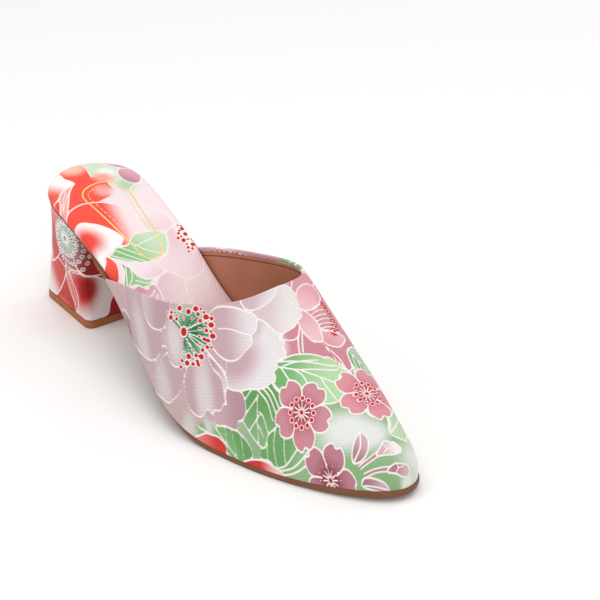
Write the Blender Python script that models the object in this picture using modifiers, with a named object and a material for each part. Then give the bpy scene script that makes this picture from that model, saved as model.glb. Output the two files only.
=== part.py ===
"""Block heel mule, a right shoe in size EU 38.

The sole, the insole, the heel and the upper all take their shape from one last: an outline seen from above,
a profile seen from the side, and the height and fullness of the sections across it.
+X runs to the toe, +Y to the medial side (the wearer's left) and +Z is up. The floor is Z = 0, and the
origin is the middle of the heel's top lift, where it stands on the floor. All lengths are in metres.
"""
import math

import bmesh
import bpy
import numpy as np

# The last
LAST_LENGTH = 0.252        # insole, from the back of the seat to the tip of the toe
SEAT_WIDTH = 0.055
WAIST_WIDTH = 0.055
BALL_WIDTH = 0.079
INSTEP_HEIGHT = 0.081      # last above the sole where the instep is highest
HEEL_HEIGHT = 0.063        # floor to the underside of the sole at the back
TOE_SPRING = 0.0025        # floor to the underside of the sole at the toe

# Layers and walls
SOLE_THICKNESS = 0.0032    # outsole at the toe
INSOLE_THICKNESS = 0.0042  # padded insole at the seat
WALL = 0.0016              # upper: printed cover and lining together
CLEARANCE = 0.0003         # gap between neighbouring pieces
UPPER_SEAT = 0.0005        # gap under the upper, whose leaning wall reaches a little lower inside

# Edges of the layers
SEAT_INSET = 0.0006        # outsole inside the insole's edge, round the seat
TOE_LEDGE = 0.0008         # outsole outside the upper, round the toe
SOLE_EDGE = 0.0005         # softened edge of the outsole
WAIST_BEVEL = 0.0025       # how far the underside is cut back under the waist
INSOLE_EDGE = 0.0014       # rounded upper edge of the padded insole

# Block heel and its top lift
HEEL_INSET = 0.0006        # heel inside the outsole's edge, round the seat
HEEL_LENGTH = 0.042        # along the seat
HEEL_CORNER = 0.004        # rounding of the breast's two corners
TIP_THICKNESS = 0.0042
TIP_LENGTH = 0.046
TIP_SETBACK = 0.001        # back of the seat to the back of the top lift
TIP_REAR_WIDTH = 0.039
TIP_FRONT_WIDTH = 0.0455
TIP_REAR_CORNER = 0.006
HEEL_FLARE = 0.85          # below 1 the block opens more towards the floor

# Outline seen from above: where along the last, the width that the row follows,
# and how far the two sides lie from the centre line as shares of that width
OUTLINE = (
    # along, width, lateral, medial
    (0.00, SEAT_WIDTH, -0.018, 0.018),
    (0.02, SEAT_WIDTH, 0.274, 0.318),
    (0.06, SEAT_WIDTH, 0.453, 0.467),
    (0.12, SEAT_WIDTH, 0.508, 0.490),
    (0.20, SEAT_WIDTH, 0.525, 0.460),
    (0.30, WAIST_WIDTH, 0.542, 0.420),
    (0.40, WAIST_WIDTH, 0.622, 0.384),
    (0.50, BALL_WIDTH, 0.509, 0.312),
    (0.60, BALL_WIDTH, 0.556, 0.418),
    (0.68, BALL_WIDTH, 0.514, 0.448),
    (0.75, BALL_WIDTH, 0.463, 0.425),
    (0.82, BALL_WIDTH, 0.392, 0.383),
    (0.89, BALL_WIDTH, 0.290, 0.303),
    (0.94, BALL_WIDTH, 0.187, 0.240),
    (0.98, BALL_WIDTH, 0.074, 0.188),
    (1.00, BALL_WIDTH, -0.064, 0.064),
)

# Underside of the sole seen from the side: its height as a share of the heel height, down to the tread,
# the flat part of the forefoot that stands on the floor
HEEL_RISE = (
    # along, height
    (0.00, 1.000),
    (0.10, 0.930),
    (0.20, 0.815),
    (0.30, 0.660),
    (0.40, 0.455),
    (0.50, 0.245),
    (0.60, 0.083),
    (0.70, 0.000),
)
TREAD_END = 0.80           # where along the last the toe begins to lift
SPRING_CURVE = 1.5         # power of the toe's lift

# Thickness of the two layers, as shares of their own named thickness
LAYERS = (
    # along, outsole, insole
    (0.00, 0.42, 1.00),
    (0.25, 0.42, 1.00),
    (0.45, 0.62, 0.80),
    (0.65, 0.95, 0.62),
    (1.00, 1.00, 0.62),
)

# Ridge of the upper: its height above the sole and its place beside the centre line.
# Along is a share of the upper's own reach, to the tip of its toe.
RIDGE = (
    # along, height (of the instep), side (of the ball width)
    (0.30, 1.010, 0.030),
    (0.40, 1.008, 0.042),
    (0.50, 0.925, 0.055),
    (0.60, 0.799, 0.067),
    (0.68, 0.649, 0.075),
    (0.76, 0.494, 0.079),
    (0.84, 0.364, 0.080),
    (0.91, 0.274, 0.077),
    (0.96, 0.192, 0.072),
    (1.00, 0.000, 0.064),
)

# Topline: where along the last it crosses each column of the upper. Across is -1 where the lateral side
# meets the sole, 0 at the ridge and 1 where the medial side meets the sole.
TOPLINE = (
    # across, along
    (-1.00, 0.297),
    (-0.75, 0.461),
    (-0.50, 0.569),
    (-0.25, 0.626),
    (0.00, 0.637),
    (0.25, 0.614),
    (0.50, 0.541),
    (0.75, 0.427),
    (1.00, 0.292),
)

LATERAL_FULLNESS = 0.83    # the lower this power, the squarer the section's shoulder
MEDIAL_FULLNESS = 0.45
LATERAL_HOLLOW = 0.06      # how far the lateral wall leans in, as a share of its half width
HOLLOW_PLACE = 0.65        # power that sets the hollow low on the wall

# Where the outsole widens from under the seat to carry the upper
WAIST_START = 0.21
WAIST_END = 0.275
BALL_START = 0.55          # where the bevel under the waist begins to close
BALL_END = 0.66
TOE_START = 0.86           # where the ledge round the toe begins

# Mesh density
OUTLINE_STEPS = 60         # along each side of the sole and the insole
CORNER_STEPS = 4
BREAST_STEPS = 4
HEEL_BACK_STEPS = 18       # from the back of the heel to a corner of its breast
HEEL_RINGS = (0.0, 0.15, 0.32, 0.5, 0.68, 0.85, 1.0)
UPPER_ROWS = 38            # from the topline to the toe
UPPER_COLUMNS = 18         # from the sole to the ridge, on each side
FOOT_SPACING = 1.25        # above 1 the columns lie closer near the sole
CROWN_SPACING = 1.6        # above 1 the columns lie closer near the ridge
DENSE = 400                # points of an outline before it is sampled again


def column(rows, number):
    """One column of a table."""
    return np.array([row[number] for row in rows], float)


def spline(places, values, at, level=False):
    """Natural cubic spline, smooth in slope and curvature; level makes its last end run out flat."""
    count = len(places)
    step = np.diff(places)
    rise = np.diff(values) / step
    matrix = np.eye(count)
    right = np.zeros(count)
    for i in range(1, count - 1):
        matrix[i, i - 1:i + 2] = step[i - 1], 2.0 * (step[i - 1] + step[i]), step[i]
        right[i] = 6.0 * (rise[i] - rise[i - 1])
    if level:
        matrix[-1, -2:] = step[-1], 2.0 * step[-1]
        right[-1] = -6.0 * rise[-1]
    bend = np.linalg.solve(matrix, right)
    at = np.clip(at, places[0], places[-1])
    i = np.clip(np.searchsorted(places, at, side="right") - 1, 0, count - 2)
    low = at - places[i]
    high = places[i + 1] - at
    cubic = (bend[i] * high ** 3 + bend[i + 1] * low ** 3) / (6.0 * step[i])
    line = (values[i] / step[i] - bend[i] * step[i] / 6.0) * high
    return cubic + line + (values[i + 1] / step[i] - bend[i + 1] * step[i] / 6.0) * low


def monotone(places, values, at):
    """Cubic that never passes its own values, for thicknesses."""
    step = np.diff(places)
    rise = np.diff(values) / step
    slope = np.zeros(len(places))
    slope[0] = rise[0]
    slope[-1] = rise[-1]
    for i in range(1, len(places) - 1):
        if rise[i - 1] * rise[i] > 0.0:
            slope[i] = 2.0 / (1.0 / rise[i - 1] + 1.0 / rise[i])
    at = np.clip(at, places[0], places[-1])
    i = np.clip(np.searchsorted(places, at, side="right") - 1, 0, len(step) - 1)
    t = (at - places[i]) / step[i]
    start = (1.0 + 2.0 * t) * (1.0 - t) ** 2 * values[i] + t * (1.0 - t) ** 2 * step[i] * slope[i]
    return start + t * t * (3.0 - 2.0 * t) * values[i + 1] + t * t * (t - 1.0) * step[i] * slope[i + 1]


def smooth_step(low, high, at):
    """Eased rise from 0 at low to 1 at high."""
    t = np.clip((at - low) / (high - low), 0.0, 1.0)
    return t * t * (3.0 - 2.0 * t)


def turn(along):
    """Angle of a place on the last as if it ran round a half circle, so that both its ends are round."""
    return np.arccos(1.0 - 2.0 * np.clip(along, 0.0, 1.0))


def half_outline(along, side):
    """Distance of the lateral (-1) or medial (+1) edge of the insole from the centre line."""
    number = 2 if side < 0 else 3
    values = column(OUTLINE, 1) * column(OUTLINE, number)
    return side * spline(turn(column(OUTLINE, 0)), values, turn(along))


def outline(offset, steps=OUTLINE_STEPS):
    """Closed outline of the last, moved outwards by an offset at each share of the length.

    The points run from the back of the seat along the lateral side to the toe and back on the medial side.
    """
    along = (1.0 - np.cos(np.linspace(0.0, math.pi, steps + 1))) / 2.0
    there = np.stack([along * LAST_LENGTH, half_outline(along, -1)], 1)
    back = np.stack([along * LAST_LENGTH, half_outline(along, 1)], 1)[-2:0:-1]
    points = np.concatenate([there, back])
    tangent = np.roll(points, -1, 0) - np.roll(points, 1, 0)
    normal = np.stack([tangent[:, 1], -tangent[:, 0]], 1)
    normal /= np.linalg.norm(normal, axis=1)[:, None]
    return points + normal * np.asarray(offset(points[:, 0] / LAST_LENGTH))[:, None]


def underside(x):
    """Height of the outsole's ground side."""
    along = np.asarray(x) / LAST_LENGTH
    heel = spline(column(HEEL_RISE, 0), column(HEEL_RISE, 1), along, level=True)
    toe = np.clip((along - TREAD_END) / (1.0 - TREAD_END), 0.0, 1.0) ** SPRING_CURVE
    return HEEL_HEIGHT * heel + TOE_SPRING * toe


def layer(x, number):
    """Share of a layer's thickness at a place on the last."""
    return monotone(column(LAYERS, 0), column(LAYERS, number), np.asarray(x) / LAST_LENGTH)


def sole_top(x):
    """Height of the outsole's upper side."""
    return underside(x) + SOLE_THICKNESS * layer(x, 1)


def seat(x):
    """Height at which the insole lies on the outsole."""
    return sole_top(x) + CLEARANCE


def upper_offset(along):
    """Distance of the upper's outer face outside the insole's edge."""
    return np.full(np.shape(along), WALL + 2.0 * CLEARANCE)


def sole_offset(along):
    """Distance of the outsole's edge outside the insole's edge: in at the seat, out under the upper."""
    widened = smooth_step(WAIST_START, WAIST_END, along)
    ledge = TOE_LEDGE * smooth_step(TOE_START, 1.0, along)
    return -SEAT_INSET + (SEAT_INSET + upper_offset(along)) * widened + ledge


def heel_offset(along):
    """Distance of the heel's top edge outside the insole's edge."""
    return np.full(np.shape(along), -SEAT_INSET - HEEL_INSET)


def new_object(name, bm, material, parent):
    """Object of a finished bmesh, smooth with its hard edges kept, carried by the last's empty."""
    mesh = bpy.data.meshes.new(name)
    bm.to_mesh(mesh)
    bm.free()
    mesh.materials.append(material)
    mesh.shade_smooth()
    mesh.set_sharp_from_angle(angle=math.radians(40))
    thing = bpy.data.objects.new(name, mesh)
    thing.parent = parent
    parent.users_collection[0].objects.link(thing)
    return thing


def loft(rings, nose):
    """Closed solid through rings of equal count, lowest first.

    Both ends are closed by strips from the lateral to the medial side, which follow the rise of the last.
    From the point numbered nose the ring's front is closed by one face.
    """
    bm = bmesh.new()
    layers = [[bm.verts.new(point) for point in ring] for ring in rings]
    count = len(layers[0])
    for low, high in zip(layers, layers[1:]):
        for i in range(count):
            j = (i + 1) % count
            bm.faces.new((low[i], low[j], high[j], high[i]))
    for ring, flip in ((layers[0], True), (layers[-1], False)):
        strips = [(ring[0], ring[1], ring[-1])]
        for i in range(1, nose):
            strips.append((ring[i], ring[i + 1], ring[count - i - 1], ring[count - i]))
        strips.append(tuple(ring[nose:count - nose + 1]))
        for strip in strips:
            bm.faces.new(strip[::-1] if flip else strip)
    bmesh.ops.recalc_face_normals(bm, faces=bm.faces[:])
    return bm


def layer_rings(offset, bottom, top, edge):
    """Rings of a thin layer; edge lists how far in and how high in the layer each ring lies.

    How far in is a length, or a function of the place along the last.
    """
    rings = []
    for inset, up in edge:
        plan = outline(lambda along: offset(along) - (inset(along) if callable(inset) else inset))
        low = bottom(plan[:, 0])
        height = low + (top(plan[:, 0]) - low) * up
        rings.append(np.column_stack([plan, height]))
    return rings


def build_outsole(material, parent):
    """Full-length outsole, flat where the forefoot stands, with softened edges and a bevelled waist."""
    def bevel(along):
        waist = smooth_step(WAIST_START, WAIST_END, along) * smooth_step(BALL_END, BALL_START, along)
        return SOLE_EDGE + WAIST_BEVEL * waist

    def half_bevel(along):
        return (bevel(along) - SOLE_EDGE) / 2.0

    edge = ((bevel, 0.0), (half_bevel, 0.4), (0.0, 0.85), (SOLE_EDGE / 2.0, 1.0))
    rings = layer_rings(sole_offset, underside, sole_top, edge)
    return new_object("outsole", loft(rings, OUTLINE_STEPS - 1), material, parent)


def build_insole(material, parent):
    """Padded insole inside the upper and over the seat, with a rounded upper edge."""
    def top(x):
        return seat(x) + INSOLE_THICKNESS * layer(x, 2)

    edge = ((INSOLE_EDGE / 4.0, 0.0), (0.0, 0.25), (0.0, 0.55), (INSOLE_EDGE * 0.3, 0.85), (INSOLE_EDGE, 1.0))
    rings = layer_rings(np.zeros_like, seat, top, edge)
    return new_object("insole", loft(rings, OUTLINE_STEPS - 1), material, parent)


def resample(path, count):
    """Points at equal steps along an open path, both ends kept."""
    reach = np.concatenate([[0.0], np.cumsum(np.linalg.norm(np.diff(path, axis=0), axis=1))])
    at = np.linspace(0.0, reach[-1], count)
    return np.stack([np.interp(at, reach, path[:, axis]) for axis in (0, 1)], 1)


def heel_ring(path, front):
    """Ring of the heel from a path round its back, closed by a straight breast with rounded corners.

    The ring starts at the middle of the back and runs along the lateral side first.
    """
    back = resample(path, 2 * HEEL_BACK_STEPS + 1)
    corner = [math.pi / 2.0 * i / CORNER_STEPS for i in range(1, CORNER_STEPS + 1)]
    ends = []
    for end, side in ((back[-1], -1), (back[0], 1)):
        centre = end - np.array([0.0, side * HEEL_CORNER])
        arc = [centre + HEEL_CORNER * np.array([math.sin(a), side * math.cos(a)]) for a in corner]
        ends.append(np.array(arc))
    lateral, medial = ends
    breast = np.linspace(lateral[-1], medial[-1], BREAST_STEPS + 1)[1:-1]
    ring = np.concatenate([back[HEEL_BACK_STEPS:], lateral, breast, medial[::-1], back[:HEEL_BACK_STEPS]])
    ring[:, 0] = np.minimum(ring[:, 0], front)
    return ring


def tip_ring():
    """Outline of the top lift: a block that widens to the front, with its rear corners rounded."""
    front = TIP_SETBACK + TIP_LENGTH
    rear_half = TIP_REAR_WIDTH / 2.0 - TIP_REAR_CORNER
    path = [(front - HEEL_CORNER, TIP_FRONT_WIDTH / 2.0)]
    for i in range(2 * CORNER_STEPS + 1):
        angle = math.pi / 2.0 * i / (2 * CORNER_STEPS)
        x = TIP_SETBACK + TIP_REAR_CORNER * (1.0 - math.sin(angle))
        path.append((x, rear_half + TIP_REAR_CORNER * math.cos(angle)))
    path += [(x, -y) for x, y in reversed(path)]
    return heel_ring(np.array(path), front)


def seat_ring():
    """Outline of the heel's top, which follows the seat of the last."""
    points = outline(heel_offset, DENSE)
    ordered = np.concatenate([points[DENSE:], points[:DENSE]])
    kept = ordered[ordered[:, 0] <= HEEL_LENGTH - HEEL_CORNER]
    return heel_ring(kept, HEEL_LENGTH)


def build_heel_block(material, parent):
    """Covered block heel between the top lift and the underside of the seat."""
    foot = tip_ring()
    head = seat_ring()
    low = TIP_THICKNESS + CLEARANCE
    rings = []
    for up in HEEL_RINGS:
        plan = foot + (head - foot) * up ** HEEL_FLARE
        height = low + (underside(plan[:, 0]) - CLEARANCE - low) * up
        rings.append(np.column_stack([plan, height]))
    nose = HEEL_BACK_STEPS + CORNER_STEPS - 1
    return new_object("heel_block", loft(rings, nose), material, parent)


def build_heel_tip(material, parent):
    """Top lift that the heel stands on."""
    plan = tip_ring()
    rings = [np.column_stack([plan, np.full(len(plan), z)]) for z in (0.0, TIP_THICKNESS)]
    nose = HEEL_BACK_STEPS + CORNER_STEPS - 1
    return new_object("heel_tip", loft(rings, nose), material, parent)


def build_upper(material, parent):
    """Vamp: one hollow wall over the last, open at the topline and where it stands on the sole.

    Its grid runs from the topline to the toe in rows, and from the lateral side over the ridge to the
    medial side in columns. The rows close up at the tip of the toe.
    """
    edge = outline(upper_offset, DENSE)
    reach = edge[DENSE, 0]
    sides = {-1: edge[:DENSE + 1], 1: np.concatenate([edge[DENSE:], edge[:1]])[::-1]}

    bm = bmesh.new()
    bmesh.ops.create_grid(bm, x_segments=UPPER_ROWS, y_segments=2 * UPPER_COLUMNS, size=0.5)
    bm.verts.ensure_lookup_table()
    place = np.array([vert.co for vert in bm.verts])
    down = place[:, 0] + 0.5                       # 0 at the topline, 1 at the tip of the toe
    across = 2.0 * place[:, 1]                     # -1 lateral edge, 0 ridge, 1 medial edge
    climb = (1.0 - np.abs(across)) ** FOOT_SPACING
    round_ = 1.0 - (1.0 - climb) ** CROWN_SPACING  # 0 at the sole, 1 at the ridge
    medial = across > 0.0

    start = spline(column(TOPLINE, 0), column(TOPLINE, 1), np.sign(across) * (1.0 - round_)) * LAST_LENGTH
    depth = np.sqrt(1.0 - start / reach) * (1.0 - down)
    along = 1.0 - depth ** 2
    x = along * reach

    rows = np.sqrt(1.0 - column(RIDGE, 0))[::-1]
    height = INSTEP_HEIGHT * spline(rows, column(RIDGE, 1)[::-1], depth)
    ridge = BALL_WIDTH * spline(rows, column(RIDGE, 2)[::-1], depth)
    feather = np.zeros_like(x)
    for side, mask in ((-1, ~medial), (1, medial)):
        path = sides[side]
        near = np.sqrt(np.clip(1.0 - path[:, 0] / reach, 0.0, 1.0))[::-1]
        feather[mask] = np.interp(depth[mask], near, path[::-1, 1])
    swing = math.pi / 2.0 * round_
    power = np.where(medial, MEDIAL_FULLNESS, LATERAL_FULLNESS)
    width = (feather - ridge) * np.clip(np.cos(swing), 0.0, 1.0) ** power
    hollow = np.where(medial, 0.0, LATERAL_HOLLOW) * np.sin(math.pi * round_ ** HOLLOW_PLACE) ** 2
    y = ridge + width - (feather - ridge) * hollow
    z = sole_top(x) + UPPER_SEAT + height * np.sin(swing)
    for vert, point in zip(bm.verts, np.column_stack([x, y, z])):
        vert.co = point
    bmesh.ops.remove_doubles(bm, verts=bm.verts[:], dist=1e-6)
    crown = max(bm.faces, key=lambda face: face.calc_center_median().z)
    crown.normal_update()
    if crown.normal.z < 0.0:
        bmesh.ops.reverse_faces(bm, faces=bm.faces[:])
    thing = new_object("upper", bm, material, parent)
    wall = thing.modifiers.new("wall", "SOLIDIFY")
    wall.thickness = WALL
    wall.offset = -1.0
    wall.use_even_offset = True
    return thing


def new_material(name, colour, roughness):
    """Principled material with one colour."""
    material = bpy.data.materials.new(name)
    material.use_nodes = True
    shader = material.node_tree.nodes["Principled BSDF"]
    shader.inputs["Base Color"].default_value = (*colour, 1.0)
    shader.inputs["Roughness"].default_value = roughness
    shader.inputs["Metallic"].default_value = 0.0
    material.diffuse_color = (*colour, 1.0)
    return material


for old in list(bpy.data.objects):
    bpy.data.objects.remove(old, do_unlink=True)

collection = bpy.data.collections.new("block_heel_mule")
bpy.context.scene.collection.children.link(collection)
last = bpy.data.objects.new("last", None)
last.location = (-TIP_SETBACK - TIP_LENGTH / 2.0, 0.0, 0.0)
collection.objects.link(last)

build_outsole(new_material("sole_sheet", (0.25, 0.11, 0.05), 0.6), last)
build_heel_tip(new_material("top_lift", (0.38, 0.13, 0.03), 0.5), last)
build_heel_block(new_material("heel_cover", (0.75, 0.12, 0.07), 0.5), last)
build_insole(new_material("insole_cover", (0.80, 0.50, 0.48), 0.5), last)
build_upper(new_material("printed_cover", (0.62, 0.50, 0.48), 0.5), last)
bpy.context.view_layer.update()
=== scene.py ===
import math

import bmesh
import bpy
import mathutils
import numpy as np
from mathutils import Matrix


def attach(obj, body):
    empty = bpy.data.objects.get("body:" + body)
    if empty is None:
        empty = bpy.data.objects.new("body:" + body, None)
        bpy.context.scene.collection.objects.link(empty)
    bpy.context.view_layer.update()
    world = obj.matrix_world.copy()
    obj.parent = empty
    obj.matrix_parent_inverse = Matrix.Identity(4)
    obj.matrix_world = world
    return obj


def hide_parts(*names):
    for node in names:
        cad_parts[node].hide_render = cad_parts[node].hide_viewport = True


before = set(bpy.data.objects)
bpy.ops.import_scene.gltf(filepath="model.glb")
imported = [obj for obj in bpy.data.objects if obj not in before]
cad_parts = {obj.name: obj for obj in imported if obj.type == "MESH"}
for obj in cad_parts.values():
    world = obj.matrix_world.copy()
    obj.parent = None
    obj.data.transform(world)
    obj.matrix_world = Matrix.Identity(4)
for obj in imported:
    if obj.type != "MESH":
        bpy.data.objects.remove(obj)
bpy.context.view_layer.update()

# The place it stands in: a plain pale floor, soft studio light from above and both sides, and
# a camera at the height and angle of a product photograph. Nothing here belongs to the shoe.
FLOOR_SIZE = 8.0
CAMERA_TARGET = (0.1874, -0.0253, 0.0896)
CAMERA_TURN = math.radians(48.97)      # round the shoe, from straight behind the lateral side
CAMERA_RISE = math.radians(27.88)
CAMERA_ROLL = math.radians(2.68)
CAMERA_REACH = 0.7799                  # from the target
IMAGE_PIXELS = 600
FOCAL_PIXELS = 1842.9


def linear(code):
    """Linear red, green and blue of an sRGB hex colour."""
    parts = [int(code[i:i + 2], 16) / 255.0 for i in (0, 2, 4)]
    return np.array([c / 12.92 if c <= 0.04045 else ((c + 0.055) / 1.055) ** 2.4 for c in parts])


def add_node(tree, kind, links=(), **settings):
    """Node with its settings, and its inputs given as (input, value or output) pairs."""
    node = tree.nodes.new(kind)
    for name, value in settings.items():
        setattr(node, name, value)
    for socket, value in links:
        if isinstance(value, bpy.types.NodeSocket):
            tree.links.new(value, node.inputs[socket])
        elif isinstance(value, np.ndarray):
            node.inputs[socket].default_value = (*value, 1.0)
        else:
            node.inputs[socket].default_value = value
    return node


def new_material(name, **shader):
    """Material with its own shader, whose steady values are set on the shader's sockets."""
    material = bpy.data.materials.new(name)
    material.use_nodes = True
    tree = material.node_tree
    surface = tree.nodes["Principled BSDF"]
    for socket, value in shader.items():
        value = (*value, 1.0) if isinstance(value, np.ndarray) else value
        surface.inputs[socket.replace("_", " ")].default_value = value
    return material, tree, surface


def new_piece(name, mesh, material):
    """Object at the origin for a finished mesh."""
    mesh.materials.append(material)
    mesh.shade_smooth()
    piece = bpy.data.objects.new(name, mesh)
    bpy.context.scene.collection.objects.link(piece)
    return piece


floor_mesh = bpy.data.meshes.new("studio_floor")
bm = bmesh.new()
bmesh.ops.create_grid(bm, x_segments=1, y_segments=1, size=FLOOR_SIZE / 2.0)
bm.to_mesh(floor_mesh)
bm.free()
# Matt white paper: even, with hardly any gloss
paper = new_material(
    "matt_white_paper", Base_Color=linear("F7F6F5"), Roughness=0.9, Specular_IOR_Level=0.1)[0]
new_piece("studio_floor", floor_mesh, paper)

world = bpy.data.worlds.new("studio_air")
world.use_nodes = True
world.node_tree.nodes["Background"].inputs["Color"].default_value = (*linear("FFFFFF"), 1.0)
world.node_tree.nodes["Background"].inputs["Strength"].default_value = 0.55
bpy.context.scene.world = world
bpy.context.scene.view_settings.view_transform = "Standard"

for name, place, size, power in (
    ("soft_light_above", (0.10, -0.10, 1.30), 1.30, 9.0),
    ("soft_light_front", (1.10, -0.55, 0.75), 0.80, 2.8),
    ("soft_light_side", (-0.25, -1.15, 0.70), 0.80, 2.4),
    ("soft_light_far", (0.00, 1.10, 0.80), 0.80, 2.4),
):
    light = bpy.data.lights.new(name, "AREA")
    light.size = size
    light.energy = power
    lamp = bpy.data.objects.new(name, light)
    lamp.location = place
    aim = np.array(CAMERA_TARGET) * (0.4, 0.0, 0.3) - place
    lamp.rotation_mode = "QUATERNION"
    lamp.rotation_quaternion = mathutils.Vector(aim).to_track_quat("-Z", "Y")
    bpy.context.scene.collection.objects.link(lamp)

camera_data = bpy.data.cameras.new("camera")
camera_data.sensor_width = 36.0
camera_data.lens = camera_data.sensor_width * FOCAL_PIXELS / IMAGE_PIXELS
camera = bpy.data.objects.new("camera", camera_data)
back = mathutils.Vector((
    math.sin(CAMERA_TURN) * math.cos(CAMERA_RISE),
    -math.cos(CAMERA_TURN) * math.cos(CAMERA_RISE),
    math.sin(CAMERA_RISE)))
camera.location = mathutils.Vector(CAMERA_TARGET) + back * CAMERA_REACH
right = mathutils.Vector((math.cos(CAMERA_TURN), math.sin(CAMERA_TURN), 0.0))
up = back.cross(right)
rolled_right = right * math.cos(CAMERA_ROLL) + up * math.sin(CAMERA_ROLL)
rolled_up = up * math.cos(CAMERA_ROLL) - right * math.sin(CAMERA_ROLL)
camera.rotation_mode = "QUATERNION"
camera.rotation_quaternion = mathutils.Matrix((rolled_right, rolled_up, back)).transposed().to_quaternion()
bpy.context.scene.collection.objects.link(camera)
bpy.context.scene.camera = camera

# Outsole: a thin sheet of brown resin rubber, cut to the last, its edge ground and waxed. It is glued
# under the insole and the upper, and fine marks roughen its whole surface.
ORIGIN = 0.024                         # last's back end behind the middle of the top lift
LAST_LENGTH = 0.252
SEAT_WIDTH = 0.055
BALL_WIDTH = 0.079
INSTEP_HEIGHT = 0.081
HEEL_HEIGHT = 0.063
TOE_SPRING = 0.0025
SOLE_THICKNESS = 0.0032
CLEARANCE = 0.0003
WALL = 0.0016
SEAT_INSET = 0.0006
TOE_LEDGE = 0.0008
WAIST_BEVEL = 0.0025
SOLE_EDGE = 0.0005
WIDENING = (0.21, 0.275)               # along the last, where the sole widens to carry the upper
BEVEL_FADE = (0.66, 0.55)              # along the last, from the ball back to the full bevel
LEDGE_START = 0.86                     # along the last, where the ledge round the toe begins
SPINE_ENDS = (0.022, 0.228)            # middle line that the upper and lower faces run to
OUTLINE = (
    # along, width, lateral, medial
    (0.00, SEAT_WIDTH, -0.018, 0.018),
    (0.02, SEAT_WIDTH, 0.274, 0.318),
    (0.06, SEAT_WIDTH, 0.453, 0.467),
    (0.12, SEAT_WIDTH, 0.508, 0.490),
    (0.20, SEAT_WIDTH, 0.525, 0.460),
    (0.30, SEAT_WIDTH, 0.542, 0.420),
    (0.40, SEAT_WIDTH, 0.622, 0.384),
    (0.50, BALL_WIDTH, 0.509, 0.312),
    (0.60, BALL_WIDTH, 0.556, 0.418),
    (0.68, BALL_WIDTH, 0.514, 0.448),
    (0.75, BALL_WIDTH, 0.463, 0.425),
    (0.82, BALL_WIDTH, 0.392, 0.383),
    (0.89, BALL_WIDTH, 0.290, 0.303),
    (0.94, BALL_WIDTH, 0.187, 0.240),
    (0.98, BALL_WIDTH, 0.074, 0.188),
    (1.00, BALL_WIDTH, -0.064, 0.064),
)
HEEL_RISE = (
    # along, height
    (0.0, 1.0), (0.1, 0.93), (0.2, 0.815), (0.3, 0.66), (0.4, 0.455), (0.5, 0.245), (0.6, 0.083), (0.7, 0.0),
)
TREAD_END = 0.80
SPRING_CURVE = 1.5
LAYERS = (
    # along, outsole, insole
    (0.00, 0.42, 1.00),
    (0.25, 0.42, 1.00),
    (0.45, 0.62, 0.80),
    (0.65, 0.95, 0.62),
    (1.00, 1.00, 0.62),
)
SOLE_PROFILE = (
    # across, height, share of the way to the middle line
    (0.00, 0.0, 1.0),
    (0.25, 0.0, 0.0),
    (0.75, 1.0, 0.0),
    (1.00, 1.0, 1.0),
)
WELD = 1e-5                            # points closer than this become one
# Kind and slot of what a point carries for a pattern, by how many numbers it is
ATTRIBUTES = {1: ("FLOAT", "value"), 3: ("FLOAT_VECTOR", "vector"), 4: ("FLOAT_COLOR", "color")}


def column(rows, number):
    """One column of a table."""
    return np.array([row[number] for row in rows], float)


def profile(rows, across):
    """Columns of a section's table at places across it. The first column holds the table's places."""
    return [np.interp(across, column(rows, 0), column(rows, number)) for number in range(1, len(rows[0]))]


def spline(places, values, at, level=False):
    """Natural cubic spline through the values; level makes its last end run out flat."""
    count = len(places)
    step = np.diff(places)
    rise = np.diff(values) / step
    matrix = np.eye(count)
    right = np.zeros(count)
    for i in range(1, count - 1):
        matrix[i, i - 1:i + 2] = step[i - 1], 2.0 * (step[i - 1] + step[i]), step[i]
        right[i] = 6.0 * (rise[i] - rise[i - 1])
    if level:
        matrix[-1, -2:] = step[-1], 2.0 * step[-1]
        right[-1] = -6.0 * rise[-1]
    bend = np.linalg.solve(matrix, right)
    at = np.clip(at, places[0], places[-1])
    i = np.clip(np.searchsorted(places, at, side="right") - 1, 0, count - 2)
    low = at - places[i]
    high = places[i + 1] - at
    cubic = (bend[i] * high ** 3 + bend[i + 1] * low ** 3) / (6.0 * step[i])
    line = (values[i] / step[i] - bend[i] * step[i] / 6.0) * high
    return cubic + line + (values[i + 1] / step[i] - bend[i + 1] * step[i] / 6.0) * low


def smooth_step(low, high, at):
    """Eased rise from 0 at low to 1 at high."""
    t = np.clip((at - low) / (high - low), 0.0, 1.0)
    return t * t * (3.0 - 2.0 * t)


def half_outline(along, side):
    """Distance of the lateral (-1) or medial (+1) edge of the insole from the centre line."""
    turn = np.arccos(1.0 - 2.0 * np.clip(along, 0.0, 1.0))
    places = np.arccos(1.0 - 2.0 * column(OUTLINE, 0))
    return side * spline(places, column(OUTLINE, 1) * column(OUTLINE, 2 if side < 0 else 3), turn)


def edge_line(around, inset=0.0):
    """Plan of the insole's edge: around runs 0 to 1 from the back over the lateral side to the toe
    and back over the medial side. A positive inset moves it inwards."""
    def at(share):
        share = share % 1.0
        along = (1.0 - np.cos(2.0 * math.pi * share)) / 2.0
        side = np.where(share < 0.5, half_outline(along, -1), half_outline(along, 1))
        return np.stack([along * LAST_LENGTH, side], -1)

    nudge = 1e-4
    tangent = at(around + nudge) - at(around - nudge)
    inward = np.stack([-tangent[..., 1], tangent[..., 0]], -1)
    inward /= np.linalg.norm(inward, axis=-1, keepdims=True)
    return at(around) + inward * np.asarray(inset)[..., None]


def underside(x):
    """Height of the outsole's ground side."""
    along = np.asarray(x) / LAST_LENGTH
    heel = spline(column(HEEL_RISE, 0), column(HEEL_RISE, 1), along, level=True)
    toe = np.clip((along - TREAD_END) / (1.0 - TREAD_END), 0.0, 1.0) ** SPRING_CURVE
    return HEEL_HEIGHT * heel + TOE_SPRING * toe


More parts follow.
